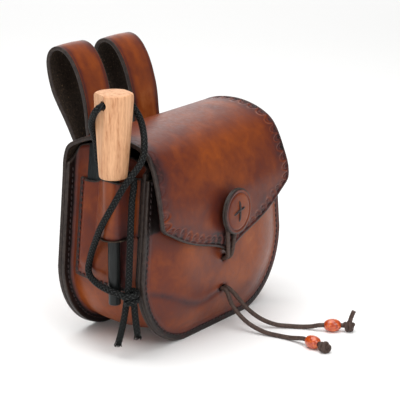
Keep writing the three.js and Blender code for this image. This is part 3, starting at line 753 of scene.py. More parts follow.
def material_for(recipe):
    """Material named for its recipe, which adds the nodes and gives the inputs of the shader."""
    material = bpy.data.materials.get(recipe.__name__)
    if not material:
        material = bpy.data.materials.new(recipe.__name__)
        material.use_nodes = True
        tree = material.node_tree
        tree.nodes.clear()
        shader = add_node(tree, 'ShaderNodeBsdfPrincipled', recipe(tree))
        add_node(tree, 'ShaderNodeOutputMaterial', {"Surface": shader})
    return material


# Pores, suede fibres, twisted thread and grinding marks are finer on the real things. Here they are drawn as
# coarse as they need to be to show.
def per_mm(size):
    """Texture scale whose features are about this many millimetres wide."""
    return 1.0 / (size * MM)


def antiqued_saddle_leather(tree):
    """Vegetable-tanned cowhide, antique dyed and waxed: orange where the dye was rubbed off, dark in the
    stamps and near the seams, fine pores, a soft wax gloss. Its dye and rub marks also carry painted shade
    and painted light where the pieces put them."""
    leather = bpy.context.scene.pouch_leather
    place = add_node(tree, 'ShaderNodeTexCoord', output="Object")
    edge, dye, rub = [
        add_node(tree, 'ShaderNodeAttribute', output="Fac", attribute_name=mark) for mark in MARKS]
    clouds = add_node(tree, 'ShaderNodeTexNoise', {
        "Vector": place, "Scale": per_mm(30), "Detail": 2.0, "Roughness": 0.5})
    patches = add_node(tree, 'ShaderNodeTexNoise', {
        "Vector": place, "Scale": per_mm(11), "Detail": 3.0, "Roughness": 0.55, "Distortion": 0.6})
    mottle = add_node(tree, 'ShaderNodeTexNoise', {
        "Vector": place, "Scale": per_mm(3), "Detail": 4.0, "Roughness": 0.6})
    tone = add_node(tree, 'ShaderNodeMapRange', {
        "Value": edge, "From Min": 0.0, "From Max": leather.edge_fade / MM, "To Min": -0.53,
        "To Max": -0.28}, interpolation_type='SMOOTHSTEP')
    for layer, amount in ((clouds, 0.68), (patches, 0.51), (mottle, 0.24), (rub, 0.38), (dye, -0.51)):
        tone = add_node(tree, 'ShaderNodeMath', {0: layer, 1: amount, 2: tone}, operation='MULTIPLY_ADD')
    shade = add_node(tree, 'ShaderNodeValToRGB', {"Fac": tone}, [
        (0.0, leather.edge), (0.17, leather.deep), (0.47, leather.middle), (0.84, leather.bright),
        (1.0, leather.pale)])
    pores = add_node(tree, 'ShaderNodeTexVoronoi', {
        "Vector": place, "Scale": per_mm(1.1), "Randomness": 1.0}, feature='DISTANCE_TO_EDGE')
    wrinkle = add_node(tree, 'ShaderNodeTexNoise', {
        "Vector": place, "Scale": per_mm(2.2), "Detail": 5.0, "Roughness": 0.62})
    grain = add_node(tree, 'ShaderNodeMath', {0: pores, 1: 0.5, 2: wrinkle}, operation='MULTIPLY_ADD')
    relief = add_node(tree, 'ShaderNodeBump', {"Height": grain, "Strength": 0.16, "Distance": 0.35 * MM})
    gloss = add_node(tree, 'ShaderNodeMapRange', {
        "Value": mottle, "From Min": 0.3, "From Max": 0.7, "To Min": 0.33, "To Max": 0.47})
    return {"Base Color": shade, "Roughness": gloss, "Normal": relief, "IOR": 1.32, "Coat Weight": 0.06,
            "Coat Roughness": 0.28}


def flecked(tree, texture, stops, bump=None, drawn=None, gloss=None):
    """Shader inputs that follow one noise, drawn out along Z where asked: colour, relief and roughness."""
    place = add_node(tree, 'ShaderNodeTexCoord', output="Object")
    if drawn:
        place = add_node(tree, 'ShaderNodeMapping', {"Vector": place, "Scale": (1.0, 1.0, drawn)})
    fleck = add_node(tree, 'ShaderNodeTexNoise', {"Vector": place, **texture})
    inputs = {"Base Color": add_node(tree, 'ShaderNodeValToRGB', {"Fac": fleck}, stops)}
    if bump:
        strength, depth = bump
        inputs["Normal"] = add_node(tree, 'ShaderNodeBump', {
            "Height": fleck, "Strength": strength, "Distance": depth * MM})
    if gloss:
        low, high = gloss
        inputs["Roughness"] = add_node(tree, 'ShaderNodeMapRange', {
            "Value": fleck, "From Min": 0.3, "From Max": 0.7, "To Min": low, "To Max": high})
    return inputs


def burnished_leather_edge(tree):
    """Cut leather edge, dyed black, waxed and rubbed with a slicker: dark, glossy, lightly streaked."""
    stops = [(0.3, bpy.context.scene.pouch_leather.edge), (0.75, linear("#40352F"))]
    wear = {"Scale": per_mm(2.5), "Detail": 4.0, "Roughness": 0.6}
    inputs = flecked(tree, wear, stops, bump=(0.25, 0.25))
    return {**inputs, "Roughness": 0.42, "IOR": 1.36}


def leather_flesh_side(tree):
    """Dyed flesh side of the hide: matt suede with short loose fibres that catch light as pale flecks."""
    dyed = bpy.context.scene.pouch_leather.flesh
    stops = [(0.35, dyed), (0.62, linear("#43382F")), (0.73, linear("#A08058"))]
    nap = {"Scale": per_mm(1.4), "Detail": 6.0, "Roughness": 0.7}
    inputs = flecked(tree, nap, stops, bump=(0.6, 0.5))
    return {**inputs, "Roughness": 0.95, "IOR": 1.2}


def waxed_seam_thread(tree):
    """Waxed polyester thread, twisted: dark, with a dull gloss along each stitch."""
    stops = [(0.3, bpy.context.scene.pouch_leather.thread), (0.8, linear("#3A2222"))]
    inputs = flecked(tree, {"Scale": per_mm(0.8), "Detail": 2.0}, stops)
    return {**inputs, "Roughness": 0.5, "IOR": 1.5}


def waxed_round_lace(tree):
    """Round cut leather lace, waxed: brown, dull, with a faint fibrous skin."""
    stops = [(0.3, bpy.context.scene.pouch_cords.lace), (0.75, linear("#5A443A"))]
    fibres = {"Scale": per_mm(1.6), "Detail": 4.0, "Roughness": 0.65}
    inputs = flecked(tree, fibres, stops, bump=(0.4, 0.3))
    return {**inputs, "Roughness": 0.66, "IOR": 1.46}


def braided_nylon_cord(tree):
    """Braided nylon cord: black, with painted sheen on its strands' tops and painted shade in the crevices.
    """
    crevice_shade = add_node(tree, 'ShaderNodeAttribute', output="Fac", attribute_name="dye")
    shade = add_node(tree, 'ShaderNodeValToRGB', {"Fac": crevice_shade}, [
        (0.0, linear("#3B3E3D")), (0.15, bpy.context.scene.pouch_cords.cord)])
    return {"Base Color": shade, "Roughness": 0.6, "IOR": 1.25}


def oiled_beech(tree):
    """Turned and oiled beech: pale, with streaks along the handle and the short dark rays of beech."""
    tools = bpy.context.scene.pouch_tools
    place = add_node(tree, 'ShaderNodeTexCoord', output="Object")
    drawn = add_node(tree, 'ShaderNodeMapping', {"Vector": place, "Scale": (1.0, 1.0, 0.05)})
    rings = add_node(tree, 'ShaderNodeTexNoise', {
        "Vector": drawn, "Scale": per_mm(2.6), "Detail": 4.0, "Roughness": 0.6})
    short = add_node(tree, 'ShaderNodeMapping', {"Vector": place, "Scale": (1.0, 1.0, 0.16)})
    rays = add_node(tree, 'ShaderNodeTexNoise', {
        "Vector": short, "Scale": per_mm(0.7), "Detail": 2.0, "Roughness": 0.5})
    streak = add_node(tree, 'ShaderNodeMath', {0: rays, 1: 0.45, 2: rings}, operation='MULTIPLY_ADD')
    shade = add_node(tree, 'ShaderNodeValToRGB', {"Fac": streak}, [
        (0.58, tools.beech), (0.78, blend_colour(tools.beech, tools.grain, 0.45)), (0.92, tools.grain)])
    relief = add_node(tree, 'ShaderNodeBump', {"Height": rays, "Strength": 0.12, "Distance": 0.2 * MM})
    return {"Base Color": shade, "Roughness": 0.55, "Normal": relief, "IOR": 1.5}


def lacquered_wood_bead(tree):
    """Turned wooden bead under clear orange lacquer: streaky red and orange with a hard gloss."""
    stops = [(0.3, linear("#8E2A0C")), (0.5, bpy.context.scene.pouch_cords.bead), (0.72, linear("#E27A2C"))]
    streaks = {"Scale": per_mm(3.2), "Detail": 4.0, "Roughness": 0.6, "Distortion": 0.8}
    inputs = flecked(tree, streaks, stops)
    return {**inputs, "Roughness": 0.3, "IOR": 1.5, "Coat Weight": 0.7, "Coat Roughness": 0.08}


def coated_ferrocerium(tree):
    """Ferrocerium rod with its dark protective coat: grey, dull metallic, drawn lengthwise."""
    stops = [(0.35, bpy.context.scene.pouch_tools.rod), (0.75, linear("#242828"))]
    scratches = {"Scale": per_mm(0.7), "Detail": 4.0, "Roughness": 0.6}
    inputs = flecked(tree, scratches, stops, drawn=0.08, gloss=(0.3, 0.45))
    return {**inputs, "Metallic": 0.2, "IOR": 1.38}


def black_oxide_steel(tree):
    """Hardened steel plate with black oxide: almost black, finely ground along its length."""
    stops = [(0.35, bpy.context.scene.pouch_tools.striker), (0.8, linear("#2C3234"))]
    inputs = flecked(tree, {"Scale": per_mm(0.6), "Detail": 3.0}, stops, drawn=0.06)
    return {**inputs, "Roughness": 0.45, "Metallic": 0.5}


def matt_pale_floor(tree):
    """Matt painted floor, pale and even, with a hardly visible mottle."""
    base = bpy.context.scene.pouch_stage.floor
    stops = [(0.3, base), (0.7, blend_colour(base, (1, 1, 1, 1), 0.3))]
    inputs = flecked(tree, {"Scale": per_mm(400)}, stops)
    return {**inputs, "Roughness": 0.9, "IOR": 1.3}


# Grain side, burnished edge and flesh side, in the order of a leather piece's slots
LEATHER_SIDES = (antiqued_saddle_leather, burnished_leather_edge, leather_flesh_side)


# Operators

class POUCH_OT_stage(Operator):
    """Floor, soft studio light and the camera at the photograph's angle"""
    bl_idname = "pouch.stage"
    bl_label = "Stage"

    def execute(self, context):
        stage = context.scene.pouch_stage
        shape = bmesh.new()
        bmesh.ops.create_grid(shape, x_segments=1, y_segments=1, size=FLOOR_HALF)
        mesh = bpy.data.meshes.new("floor")
        shape.to_mesh(mesh)
        shape.free()
        mesh.materials.append(material_for(matt_pale_floor))
        floor = bpy.data.objects.new("floor", mesh)
        context.scene.collection.objects.link(floor)
        camera_data = bpy.data.cameras.new("camera")
        camera_data.lens = stage.lens
        camera_data.sensor_width = SENSOR
        camera = bpy.data.objects.new("camera", camera_data)
        camera.location = stage.eye
        heading = Vector(stage.target) - Vector(stage.eye)
        camera.rotation_euler = heading.to_track_quat('-Z', 'Y').to_euler()
        context.scene.collection.objects.link(camera)
        context.scene.camera = camera
        context.scene.view_settings.view_transform = 'Standard'
        for name, place, width, height in LIGHTS:
            data = bpy.data.lights.new(name, 'AREA')
            data.shape = 'RECTANGLE'
            data.size = width
            data.size_y = height
            data.energy = getattr(stage, name)
            light = bpy.data.objects.new(name, data)
            light.location = place
            light.rotation_euler = (Vector(LIT_POINT) - Vector(place)).to_track_quat('-Z', 'Y').to_euler()
            context.scene.collection.objects.link(light)
        world = bpy.data.worlds.new("studio")
        world.use_nodes = True
        surround = world.node_tree.nodes["Background"]
        surround.inputs["Color"].default_value = (1, 1, 1, 1)
        surround.inputs["Strength"].default_value = stage.sky
        context.scene.world = world
        return {'FINISHED'}


def free_cord(route, points):
    """Works out a cord's length and points at equal steps along its route, which nothing uses."""
    length = route_length(route)
    path = [tuple(point * MM) for point in even_route(route, length / points)]


def knot_route(middle, turn, count, start, turns, wide, tall, narrow, opening):
    """Route of a knot: a short coil whose two ends run in towards its axis."""
    route = []
    for k in range(count):
        t = k / (count - 1)
        angle = start + 2 * math.pi * turns * t
        reach = wide * min(1.0, narrow + opening * t, narrow + opening * (1 - t))
        place = Vector((reach * math.cos(angle), reach * math.sin(angle), (t - 0.5) * tall))
        route.append(tuple(middle + turn @ place))
    return route


class POUCH_OT_laces(Operator):
    """Closure loop round the button's post, and the two laces with their beads and knots"""
    bl_idname = "pouch.laces"
    bl_label = "Laces, beads and knots"

    def execute(self, context):
        radius = context.scene.pouch_cords.lace_diameter / MM / 2
        self.lace("closure_loop", CLOSURE, radius, "object", [])
        for name, route in (("upper", LACE_UPPER), ("lower", LACE_LOWER)):
            end = Vector(route[-1])
            bead_middle = Vector(route[-2])
            heading = (end - bead_middle).normalized()
            bead = self.bead(f"bead_{name}", bead_middle, heading)
            middle = end + heading * LACE_KNOT_AHEAD
            middle.z = LACE_KNOT_Z
            knot = self.knot(f"lace_knot_{name}", middle, heading, radius)
            self.lace(f"lace_{name}", route + LACE_TAILS[name], radius, "knot", [bead, knot])
        return {'FINISHED'}

    @staticmethod
    def lace(name, route, radius, far_end, on_it):
        shape = new_shape()
        add_cord(shape, route, radius, **LACE_FORM)
        piece = finish_piece(name, shape, [waxed_round_lace], (name,))
        free_cord(route, points=34)

    @staticmethod
    def bead(name, middle, heading):
        half = 5.5
        bore = 1.75
        rim = 2.1
        belly = 4.4
        sweep = 2.62
        profile = [(bore, half - 0.2), (rim, half)]
        for k in range(17):
            turn = (0.5 - k / 16) * sweep
            profile.append((belly * math.cos(turn) ** 0.72, half * math.sin(turn) / math.sin(sweep / 2)))
        profile += [(rim, -half), (bore, -half + 0.2), (bore, half - 0.2)]
        matrix = Matrix.Translation(middle * MM) @ heading.to_track_quat('Z', 'Y').to_matrix().to_4x4()
        shape = new_shape()
        turned(shape, profile, segments=32, matrix=matrix)
        return finish_piece(name, shape, [lacquered_wood_bead], (name,))

    @staticmethod
    def knot(name, middle, heading, radius):
        turn = heading.to_track_quat('Z', 'Y').to_matrix()
        shape = new_shape()
        add_cord(shape, knot_route(middle, turn, **LACE_COIL), radius, sides=14, step=0.6)
        return finish_piece(name, shape, [waxed_round_lace], (name,))


class POUCH_OT_lanyard(Operator):
    """Braided cord from the handle's hole, its knot and its two frayed ends"""
    bl_idname = "pouch.lanyard"
    bl_label = "Lanyard"

    def execute(self, context):
        radius = context.scene.pouch_cords.cord_diameter / MM / 2
        coil = knot_route(Vector(LANYARD_KNOT), Matrix.Identity(3), **BRAID_COIL)
        knot = self.braid("lanyard_knot", coil, radius, ("lanyard_knot",))
        for side, route in (("left", LANYARD_LEFT), ("right", LANYARD_RIGHT)):
            name = f"lanyard_{side}"
            piece = self.braid(name, route, radius, (name, f"lanyard_tail_{side}"))
            fray = self.fray(f"lanyard_fray_{side}", route, radius)
            free_cord(route, points=38)
        return {'FINISHED'}

    @staticmethod
    def braid(name, route, radius, nodes):
        shape = new_shape()
        add_cord(shape, route, radius, **BRAID_FORM)
        return finish_piece(name, shape, [braided_nylon_cord], nodes)

    @staticmethod
    def fray(name, route, radius):
        strands = 14
        end = Vector(route[-1])
        turn = (end - Vector(route[-2])).normalized().to_track_quat('Z', 'Y').to_matrix()
        shape = new_shape()
        for k in range(strands):
            reach = radius * (0.25 + 0.65 * (k / (strands - 1)))
            tip = 2.2 + 1.4 * ((k * 5) % 7) / 7
            strand = []
            for spread, twist, ahead in ((1.0, 0.0, -1.5), (1.15, 0.2, 1.2), (1.5, 0.4, tip)):
                angle = k * 2.4 + twist
                place = Vector((reach * spread * math.cos(angle), reach * spread * math.sin(angle), ahead))
                strand.append(tuple(end + turn @ place))
            add_cord(shape, strand, 0.34, sides=6, step=0.8)
        return finish_piece(name, shape, [braided_nylon_cord])


class POUCH_OT_back_flap(Operator):
    """Back panel and flap in one sheet, with the scalloped border stamped along the flap's edge"""
    bl_idname = "pouch.back_flap"
    bl_label = "Back and flap"

    def execute(self, context):
        leather = context.scene.pouch_leather
        depth = leather.stamp_depth / MM
        pitch = leather.stamp_pitch / MM
        table = self.rows()
        last = len(table) - 1
        band_columns = 18
        middle_columns = 30
        columns = 2 * band_columns + middle_columns
        band = 11.4

        def across(u, entry):
            index = u * columns
            left = index > columns / 2
            k = columns - index if left else index
            half = entry["half"][left]
            wide = min(band * entry["stretch"][left], 0.86 * half)
            if k <= band_columns:
                x = half - wide * k / band_columns
            else:
                x = (half - wide) * (1 - (k - band_columns) / (middle_columns / 2))
            return (-x if left else x), left

        def place(u, v):
            spot = v * last
            low = int(spot)
            share = spot - low
            first = at_row(u, table[min(low, last)])
            if share < 1e-4:
                return first
            second = at_row(u, table[min(low + 1, last)])
            return (first[0].lerp(second[0], share), *first[1:])

        def at_row(u, entry):
            x, left = across(u, entry)
            inside = entry["half"][left] - abs(x)
            if "z" in entry:
                near = from_edge(x, entry["z"])
                return Vector((x, BACK_FACE, entry["z"])), near, 0.0, WEAR_AND_PAINTED_LIGHT["back"] * rise(near, 20, 40)
            row = entry["row"]
            a, b = entry["edges"]
            mix = (x + a.x) / (a.x + b.x)
            bow = 4 * mix * (1 - mix)
            soft = bow * rise(row, 3, 2) * fall(row, 10.5, 1.5)
            point = a.lerp(entry["soft"][0], soft).lerp(b.lerp(entry["soft"][1], soft), mix)
            point.x = x
            point.y -= FLAP_CROWN * rise(row, FLAP_FRONT_ROW, 2) * bow
            near = inside / entry["stretch"][left]
            along = entry["s"][left] - inside * entry["lean"][left] / entry["stretch"][left]
            border = rise(row, BORDER_ROW, 0.5)
            started = border * blend(0.25, 1.0, rise(row, 9.6, 0.6)) if left else border
            pressed, ridge = stamp(near, along, pitch)
            crease = bell(near, *EDGE_CREASE) * border
            rubbed = rubbed_at(x, point.z, FLAP_TOP_RUB) * rise(row, 5, 3)
            rubbed += WEAR_AND_PAINTED_LIGHT["flap bend"] * rise(row, BORDER_ROW, 1.5) * fall(row, 9, 4)
            rubbed += rubbed_at(x, point.z, FLAP_LOW_RUB)
            rubbed = rubbed * rise(near, 9, 6) + WEAR_AND_PAINTED_LIGHT["stamp ridge"] * ridge * started
            from_button = math.hypot(x - BUTTON_SHADOW_X, point.z - BUTTON_Z)
            dye = DYE_AND_PAINTED_SHADE["stamp"] * pressed * started + DYE_AND_PAINTED_SHADE["edge crease"] * crease
            # Painted shadow of the button on the flap round it
            dye += DYE_AND_PAINTED_SHADE["painted button shadow"] * bell(from_button, *BUTTON_SHADOW) * rise(row, FLAP_FRONT_ROW, 1)
            sunk = depth * pressed * started + CREASE_DEPTH * crease
            return point - entry["out"] * sunk, 4.5 + 1.2 * max(0.0, near - 8), dye, rubbed

        leather_sheet("back_flap", place, columns, rows=last, ends=(30, 3), thickness=LEATHER, reach=0.55)
        return {'FINISHED'}

    @staticmethod
    def rows():
        """Rows of the sheet from the bottom of the back to the flap's point."""
        corner_rows = 16
        side_rows = 20
        side_step = 3.1
        probe = 0.05
        spans = len(FLAP_LEFT) - 1
        table = [CORNER * (1 - math.cos(k / corner_rows * math.pi / 2)) for k in range(corner_rows)]
        table = [{"z": z} for z in table + [CORNER + k * side_step for k in range(side_rows)]]
        for entry in table:
            entry["half"] = [panel_half(entry["z"])] * 2
            entry["stretch"] = [1.0, 1.0]

        def smoothed(profile, row):
            near = [spline(profile, (row + shift) / spans) for shift in (-1.6, -0.8, 0.0, 0.8, 1.6)]
            return (near[0] + near[1] * 2 + near[2] * 2 + near[3] * 2 + near[4]) / 8

        row = 0.0
        before = None
        while row < spans:
            edges = [spline(profile, row / spans) for profile in (FLAP_LEFT, FLAP_RIGHT)]
            middle = (edges[0] + edges[1]) / 2
            pointed = sum(between(FLAP_POINT, middle.z + shift) for shift in (-1.4, 0.0, 1.4)) / 3
            half = []
            for edge in (edges[1], edges[0]):
                lower = soft_min(edge.x, pointed, FLAP_CORNER_SOFTNESS)
                half.append(edge.x if row < FLAP_FRONT_ROW else max(FLAP_POINT[0][1], lower))
            entry = {"row": row, "edges": edges, "half": half, "lean": [0.0, 0.0], "s": [0.0, 0.0]}
            if before:
                run = (middle - before["middle"]).yz.length
                entry["lean"] = [(half[k] - before["half"][k]) / run for k in (0, 1)]
                entry["s"] = [before["s"][k] + math.hypot(half[k] - before["half"][k], run) for k in (0, 1)]
            entry["stretch"] = [math.hypot(1.0, lean) for lean in entry["lean"]]
            entry["soft"] = [smoothed(profile, row) for profile in (FLAP_LEFT, FLAP_RIGHT)]
            ahead = spline(FLAP_LEFT, (row + 0.1) / spans) - spline(FLAP_LEFT, (row - 0.1) / spans)
            entry["out"] = Vector((0.0, ahead.z, -ahead.y)).normalized()
            entry["middle"] = middle
            table.append(entry)
            before = entry
            step = 1.6 if row < 2.4 else (0.55 if row < 9.8 else 0.3)
            length = (spline(FLAP_LEFT, (row + probe) / spans) - edges[0]).yz.length
            row += probe * step / max(length, 0.02)
        return table


def stamp(near, along, pitch):
    """Depth and raised outline, each from 0 to 1, of a row of arch stamps at a distance from the edge."""
    base = 1.8
    tall = 8.0
    aside = abs((along / pitch) % 1.0 - 0.5) * 2
    reach = aside if near < base else math.hypot(aside, (near - base) / tall)
    started = rise(near, 1.0, 0.8)
    outer = bell(reach, 0.85, 0.13)
    inner = bell(reach, 0.42, 0.1)
    outline = outer + 0.6 * inner
    return started * fall(reach, 0.96, 0.16) * (1 - 0.85 * min(1.0, outline)), started * outline


class POUCH_OT_front_panel(Operator):
    """Moulded front panel with its stitch groove, lace holes, pull mark and the flap's painted shadow"""
    bl_idname = "pouch.front_panel"
    bl_label = "Front panel"

    def execute(self, context):
        insets = [0, 0.8, 1.6, 2.4, 3.1, 3.6, 4.1, 4.6, 5.1, 5.6, 6.1, 6.8, 7.6]
        insets += [9 + 1.4 * k for k in range(30)]
        insets = [inset for inset in insets if inset < CORNER - 0.4] + [CORNER]
        ring_rows = len(insets) - 1
        inner_rows = 14
        rows = ring_rows + inner_rows
        columns = 300
        pull_line = [tuple(point) for point in even_route(CREASE, 2.5)]

        def flat_place(u, v):
            spot = v * rows
            if spot <= ring_rows:
                k = min(int(spot), ring_rows - 1)
                inset = blend(insets[k], insets[k + 1], spot - k)
                return panel_outline(u, inset)
            x, z = panel_outline(u, CORNER)
            closing = (spot - ring_rows) / inner_rows
            return x * (1 - closing), FRONT_TOP - (FRONT_TOP - z) * (1 - closing)

        def place(u, v):
            x, z = flat_place(u, v)
            inside = from_edge(x, z)
            near = min(inside, FRONT_TOP - z + 6)
            groove = clamp01(1 - ((inside - STITCH_INSET) / 1.3) ** 2)
            pull = bell(distance_to(pull_line, x, z), 0, 2.2) * rise(x, -82, 14)
            hole = min(math.hypot(x / HOLE_HALF[0], (z - height) / HOLE_HALF[1]) for height in HOLES)
            # The dimples round the lace holes are sunk and painted with shade
            dip = bell(hole, 1, 0.8) if hole > 1 else 1.0
            wave = WAVE_DEPTH * noise.noise(Vector((x, z, 3.0)) / 32) * rise(near, 8, 10)
            y = front_y(x, z) + GROOVE_DEPTH * groove + PULL_DEPTH * pull + HOLE_DIP * dip + wave
            # The right of the panel is painted lighter, as if lit from that side; the rubbed places are wear
            rubbed = WEAR_AND_PAINTED_LIGHT["painted right front light"] * rise(x, 5, 30) * rise(z, 14, 20)
            rubbed += sum(rubbed_at(x, z, spot) for spot in FRONT_RUBS)
            # Painted shadow of the flap on the panel beside the flap's left edge
            painted_flap_shadow = fall(x, -62, 5) * rise(z, 79.5, 3)
            margin = fall(inside, STITCH_INSET + 1.2, 2)
            dye = DYE_AND_PAINTED_SHADE["panel groove"] * groove + DYE_AND_PAINTED_SHADE["pull mark"] * pull + DYE_AND_PAINTED_SHADE["lace hole"] * dip
            dye += DYE_AND_PAINTED_SHADE["sewn margin"] * margin + painted_flap_shadow
            return Vector((x, y, z)), 1.7 * near, dye, rubbed

        shape = new_shape()
        add_grid(shape, columns, rows, place)
        bmesh.ops.remove_doubles(shape, verts=shape.verts[:], dist=1e-6)
        self.punch(shape)
        thicken(shape, shape.faces[:], LEATHER)
        around = edge_frames(place, AROUND[:1], (240,))
        around.append((Vector(place(1.0, 0.0)[0]), Vector((1, 0, 0)), Vector((0, -1, 0))))
        add_edge(shape, around, LEATHER, reach=0.55, closed=False)
        finish_piece("front_panel", shape, LEATHER_SIDES, ("front_panel",))
        return {'FINISHED'}

    @staticmethod
    def punch(shape):
        """Opens the two lace holes and rounds their rims."""
        for height in HOLES:
            def away(place):
                return math.hypot(place.x / HOLE_HALF[0], (place.z - height * MM) / HOLE_HALF[1]) / MM

            inside = [face for face in shape.faces if away(face.calc_center_median()) < 1]
            bmesh.ops.delete(shape, geom=inside, context='FACES')
            for vert in shape.verts:
                reach = away(vert.co)
                if vert.is_boundary and reach < 2.2:
                    vert.co.x /= reach
                    vert.co.z = height * MM + (vert.co.z - height * MM) / reach


class POUCH_OT_gusset(Operator):
    """Channel strip round the sides and the bottom, with its rolled flanges"""
    bl_idname = "pouch.gusset"
    bl_label = "Gusset"

    def execute(self, context):
        front_rim = GUSSET_SECTION[0][0]
        back_rim = GUSSET_SECTION[-1][0]
        columns = 56
        side_rows = 30
        turn_rows = 24
        flat_rows = 12
        rows = 2 * (side_rows + turn_rows + flat_rows)
        flat = HALF_WIDTH - CORNER

        def section(u, z):
            table = []
            for y, inset, top in GUSSET_SECTION:
                table.append((y, WEB_INSET - web_crown(y, z) if inset is None else inset, top))
            return spline(table, u)

        def place(u, v):
            spot = v * rows
            mirrored = spot > rows / 2
            spot = rows - spot if mirrored else spot
            y, inset, top = section(u, CORNER)
            if spot <= side_rows:
                z = blend(top, CORNER, spot / side_rows)
                y, inset, top = section(u, z)
                x = inset - panel_half(z)
            elif spot <= side_rows + turn_rows:
                turn = (spot - side_rows) / turn_rows * math.pi / 2
                x = -flat - (CORNER - inset) * math.cos(turn)
                z = CORNER - (CORNER - inset) * math.sin(turn)
            else:
                x = -flat * (1 - (spot - side_rows - turn_rows) / flat_rows)
                z = inset
            from_rim = min(y - front_rim, back_rim - y) + inset
            near = max(0.0, 3 * (from_rim - blend(1.5, 5, rise(y, -40, 20))))
            near = min(near, max(0.0, (top - z)) + 6)
            # Darker along both flanges, most by the back one: painted shade in the valley there
            dye = blend(0.1, 0.9, rise(y, -20, 12)) * fall(from_rim, 7, 3)
            rubbed = WEAR_AND_PAINTED_LIGHT["web"] * rise(from_rim, 7, 6)
            # The lower web is painted lighter, as if lit from low on the left
            rubbed += blend(0.4, 0.6, rise(y, -45, 30)) * rise(from_rim, 6, 4) * fall(z, 50, 28)
            point = Vector((-x if mirrored else x, y, z))
            return point, near, dye, rubbed

        leather_sheet("gusset", place, columns, rows, ends=(40, 40), thickness=LEATHER, reach=0.5)
        return {'FINISHED'}


def patch_bottom(y):
    return PATCH_BOTTOM + PATCH_SLOPE * (y - PATCH_REAR)


def patch_top(y):
    """Height of the patch's top edge, which rises to a lip over the channel."""
    lip = clamp01(1 - ((y - STEEL[1]) / CHANNEL_R) ** 2)
    return blend(PATCH_TOP, CHANNEL_TOP, fall(y, -24, 16)) + 2.2 * lip


def slit_height(y):
    """Height of the slit's edge, which the rod has pushed up."""
    return SLIT_Z + blend(SLIT_BEND, -SLIT_BEND, rise(y, STEEL[1] + 4, 14))


def off_seam(y, z):
    """Share from 0 to 1 by which the patch is free of its bottom seam."""
    return rise(z - patch_bottom(y), 2.6, 10)


def pocket_height(y, z):
    """Height of the patch over the web where it covers the striker."""
    return PATCH_SEAT + POCKET_RISE * fall(y, POCKET_REAR, POCKET_STEP) * off_seam(y, z)


def channel_section(z):
    """Section of the patch from its front edge over the channel to the pocket: depth, height off the web."""
    axis = web_x(STEEL[1], z) - STEEL[0]
    aside = POCKET_FRONT - STEEL[1]
    level = pocket_height(POCKET_FRONT, z)
    start = math.atan2(level - axis, aside) + math.acos(CHANNEL_R / math.hypot(aside, level - axis))
    section = [(PATCH_FRONT, PATCH_SEAT), (PATCH_FRONT + 1.2, PATCH_SEAT), (STEEL[1] - 8.9, PATCH_SEAT + 1)]
    section.append((STEEL[1] - 7.3, axis - 3.6))
    for k in range(9):
        turn = blend(math.pi, start, k / 8)
        section.append((STEEL[1] + CHANNEL_R * math.cos(turn), axis + CHANNEL_R * math.sin(turn)))
    touch = section[-1]
    for share in (0.35, 0.7, 1):
        section.append((blend(touch[0], POCKET_FRONT, share), blend(touch[1], level, share)))
    return section


def flat_height(y, z):
    """Height over the web of the patch below the slit, where it passes under the rod."""
    under = PATCH_SEAT + 1.7 * off_seam(y, z) * (1 - fall(y, STEEL[1] - 4, 5))
    return blend(pocket_height(POCKET_FRONT, z), under, fall(y, POCKET_FRONT, 12))


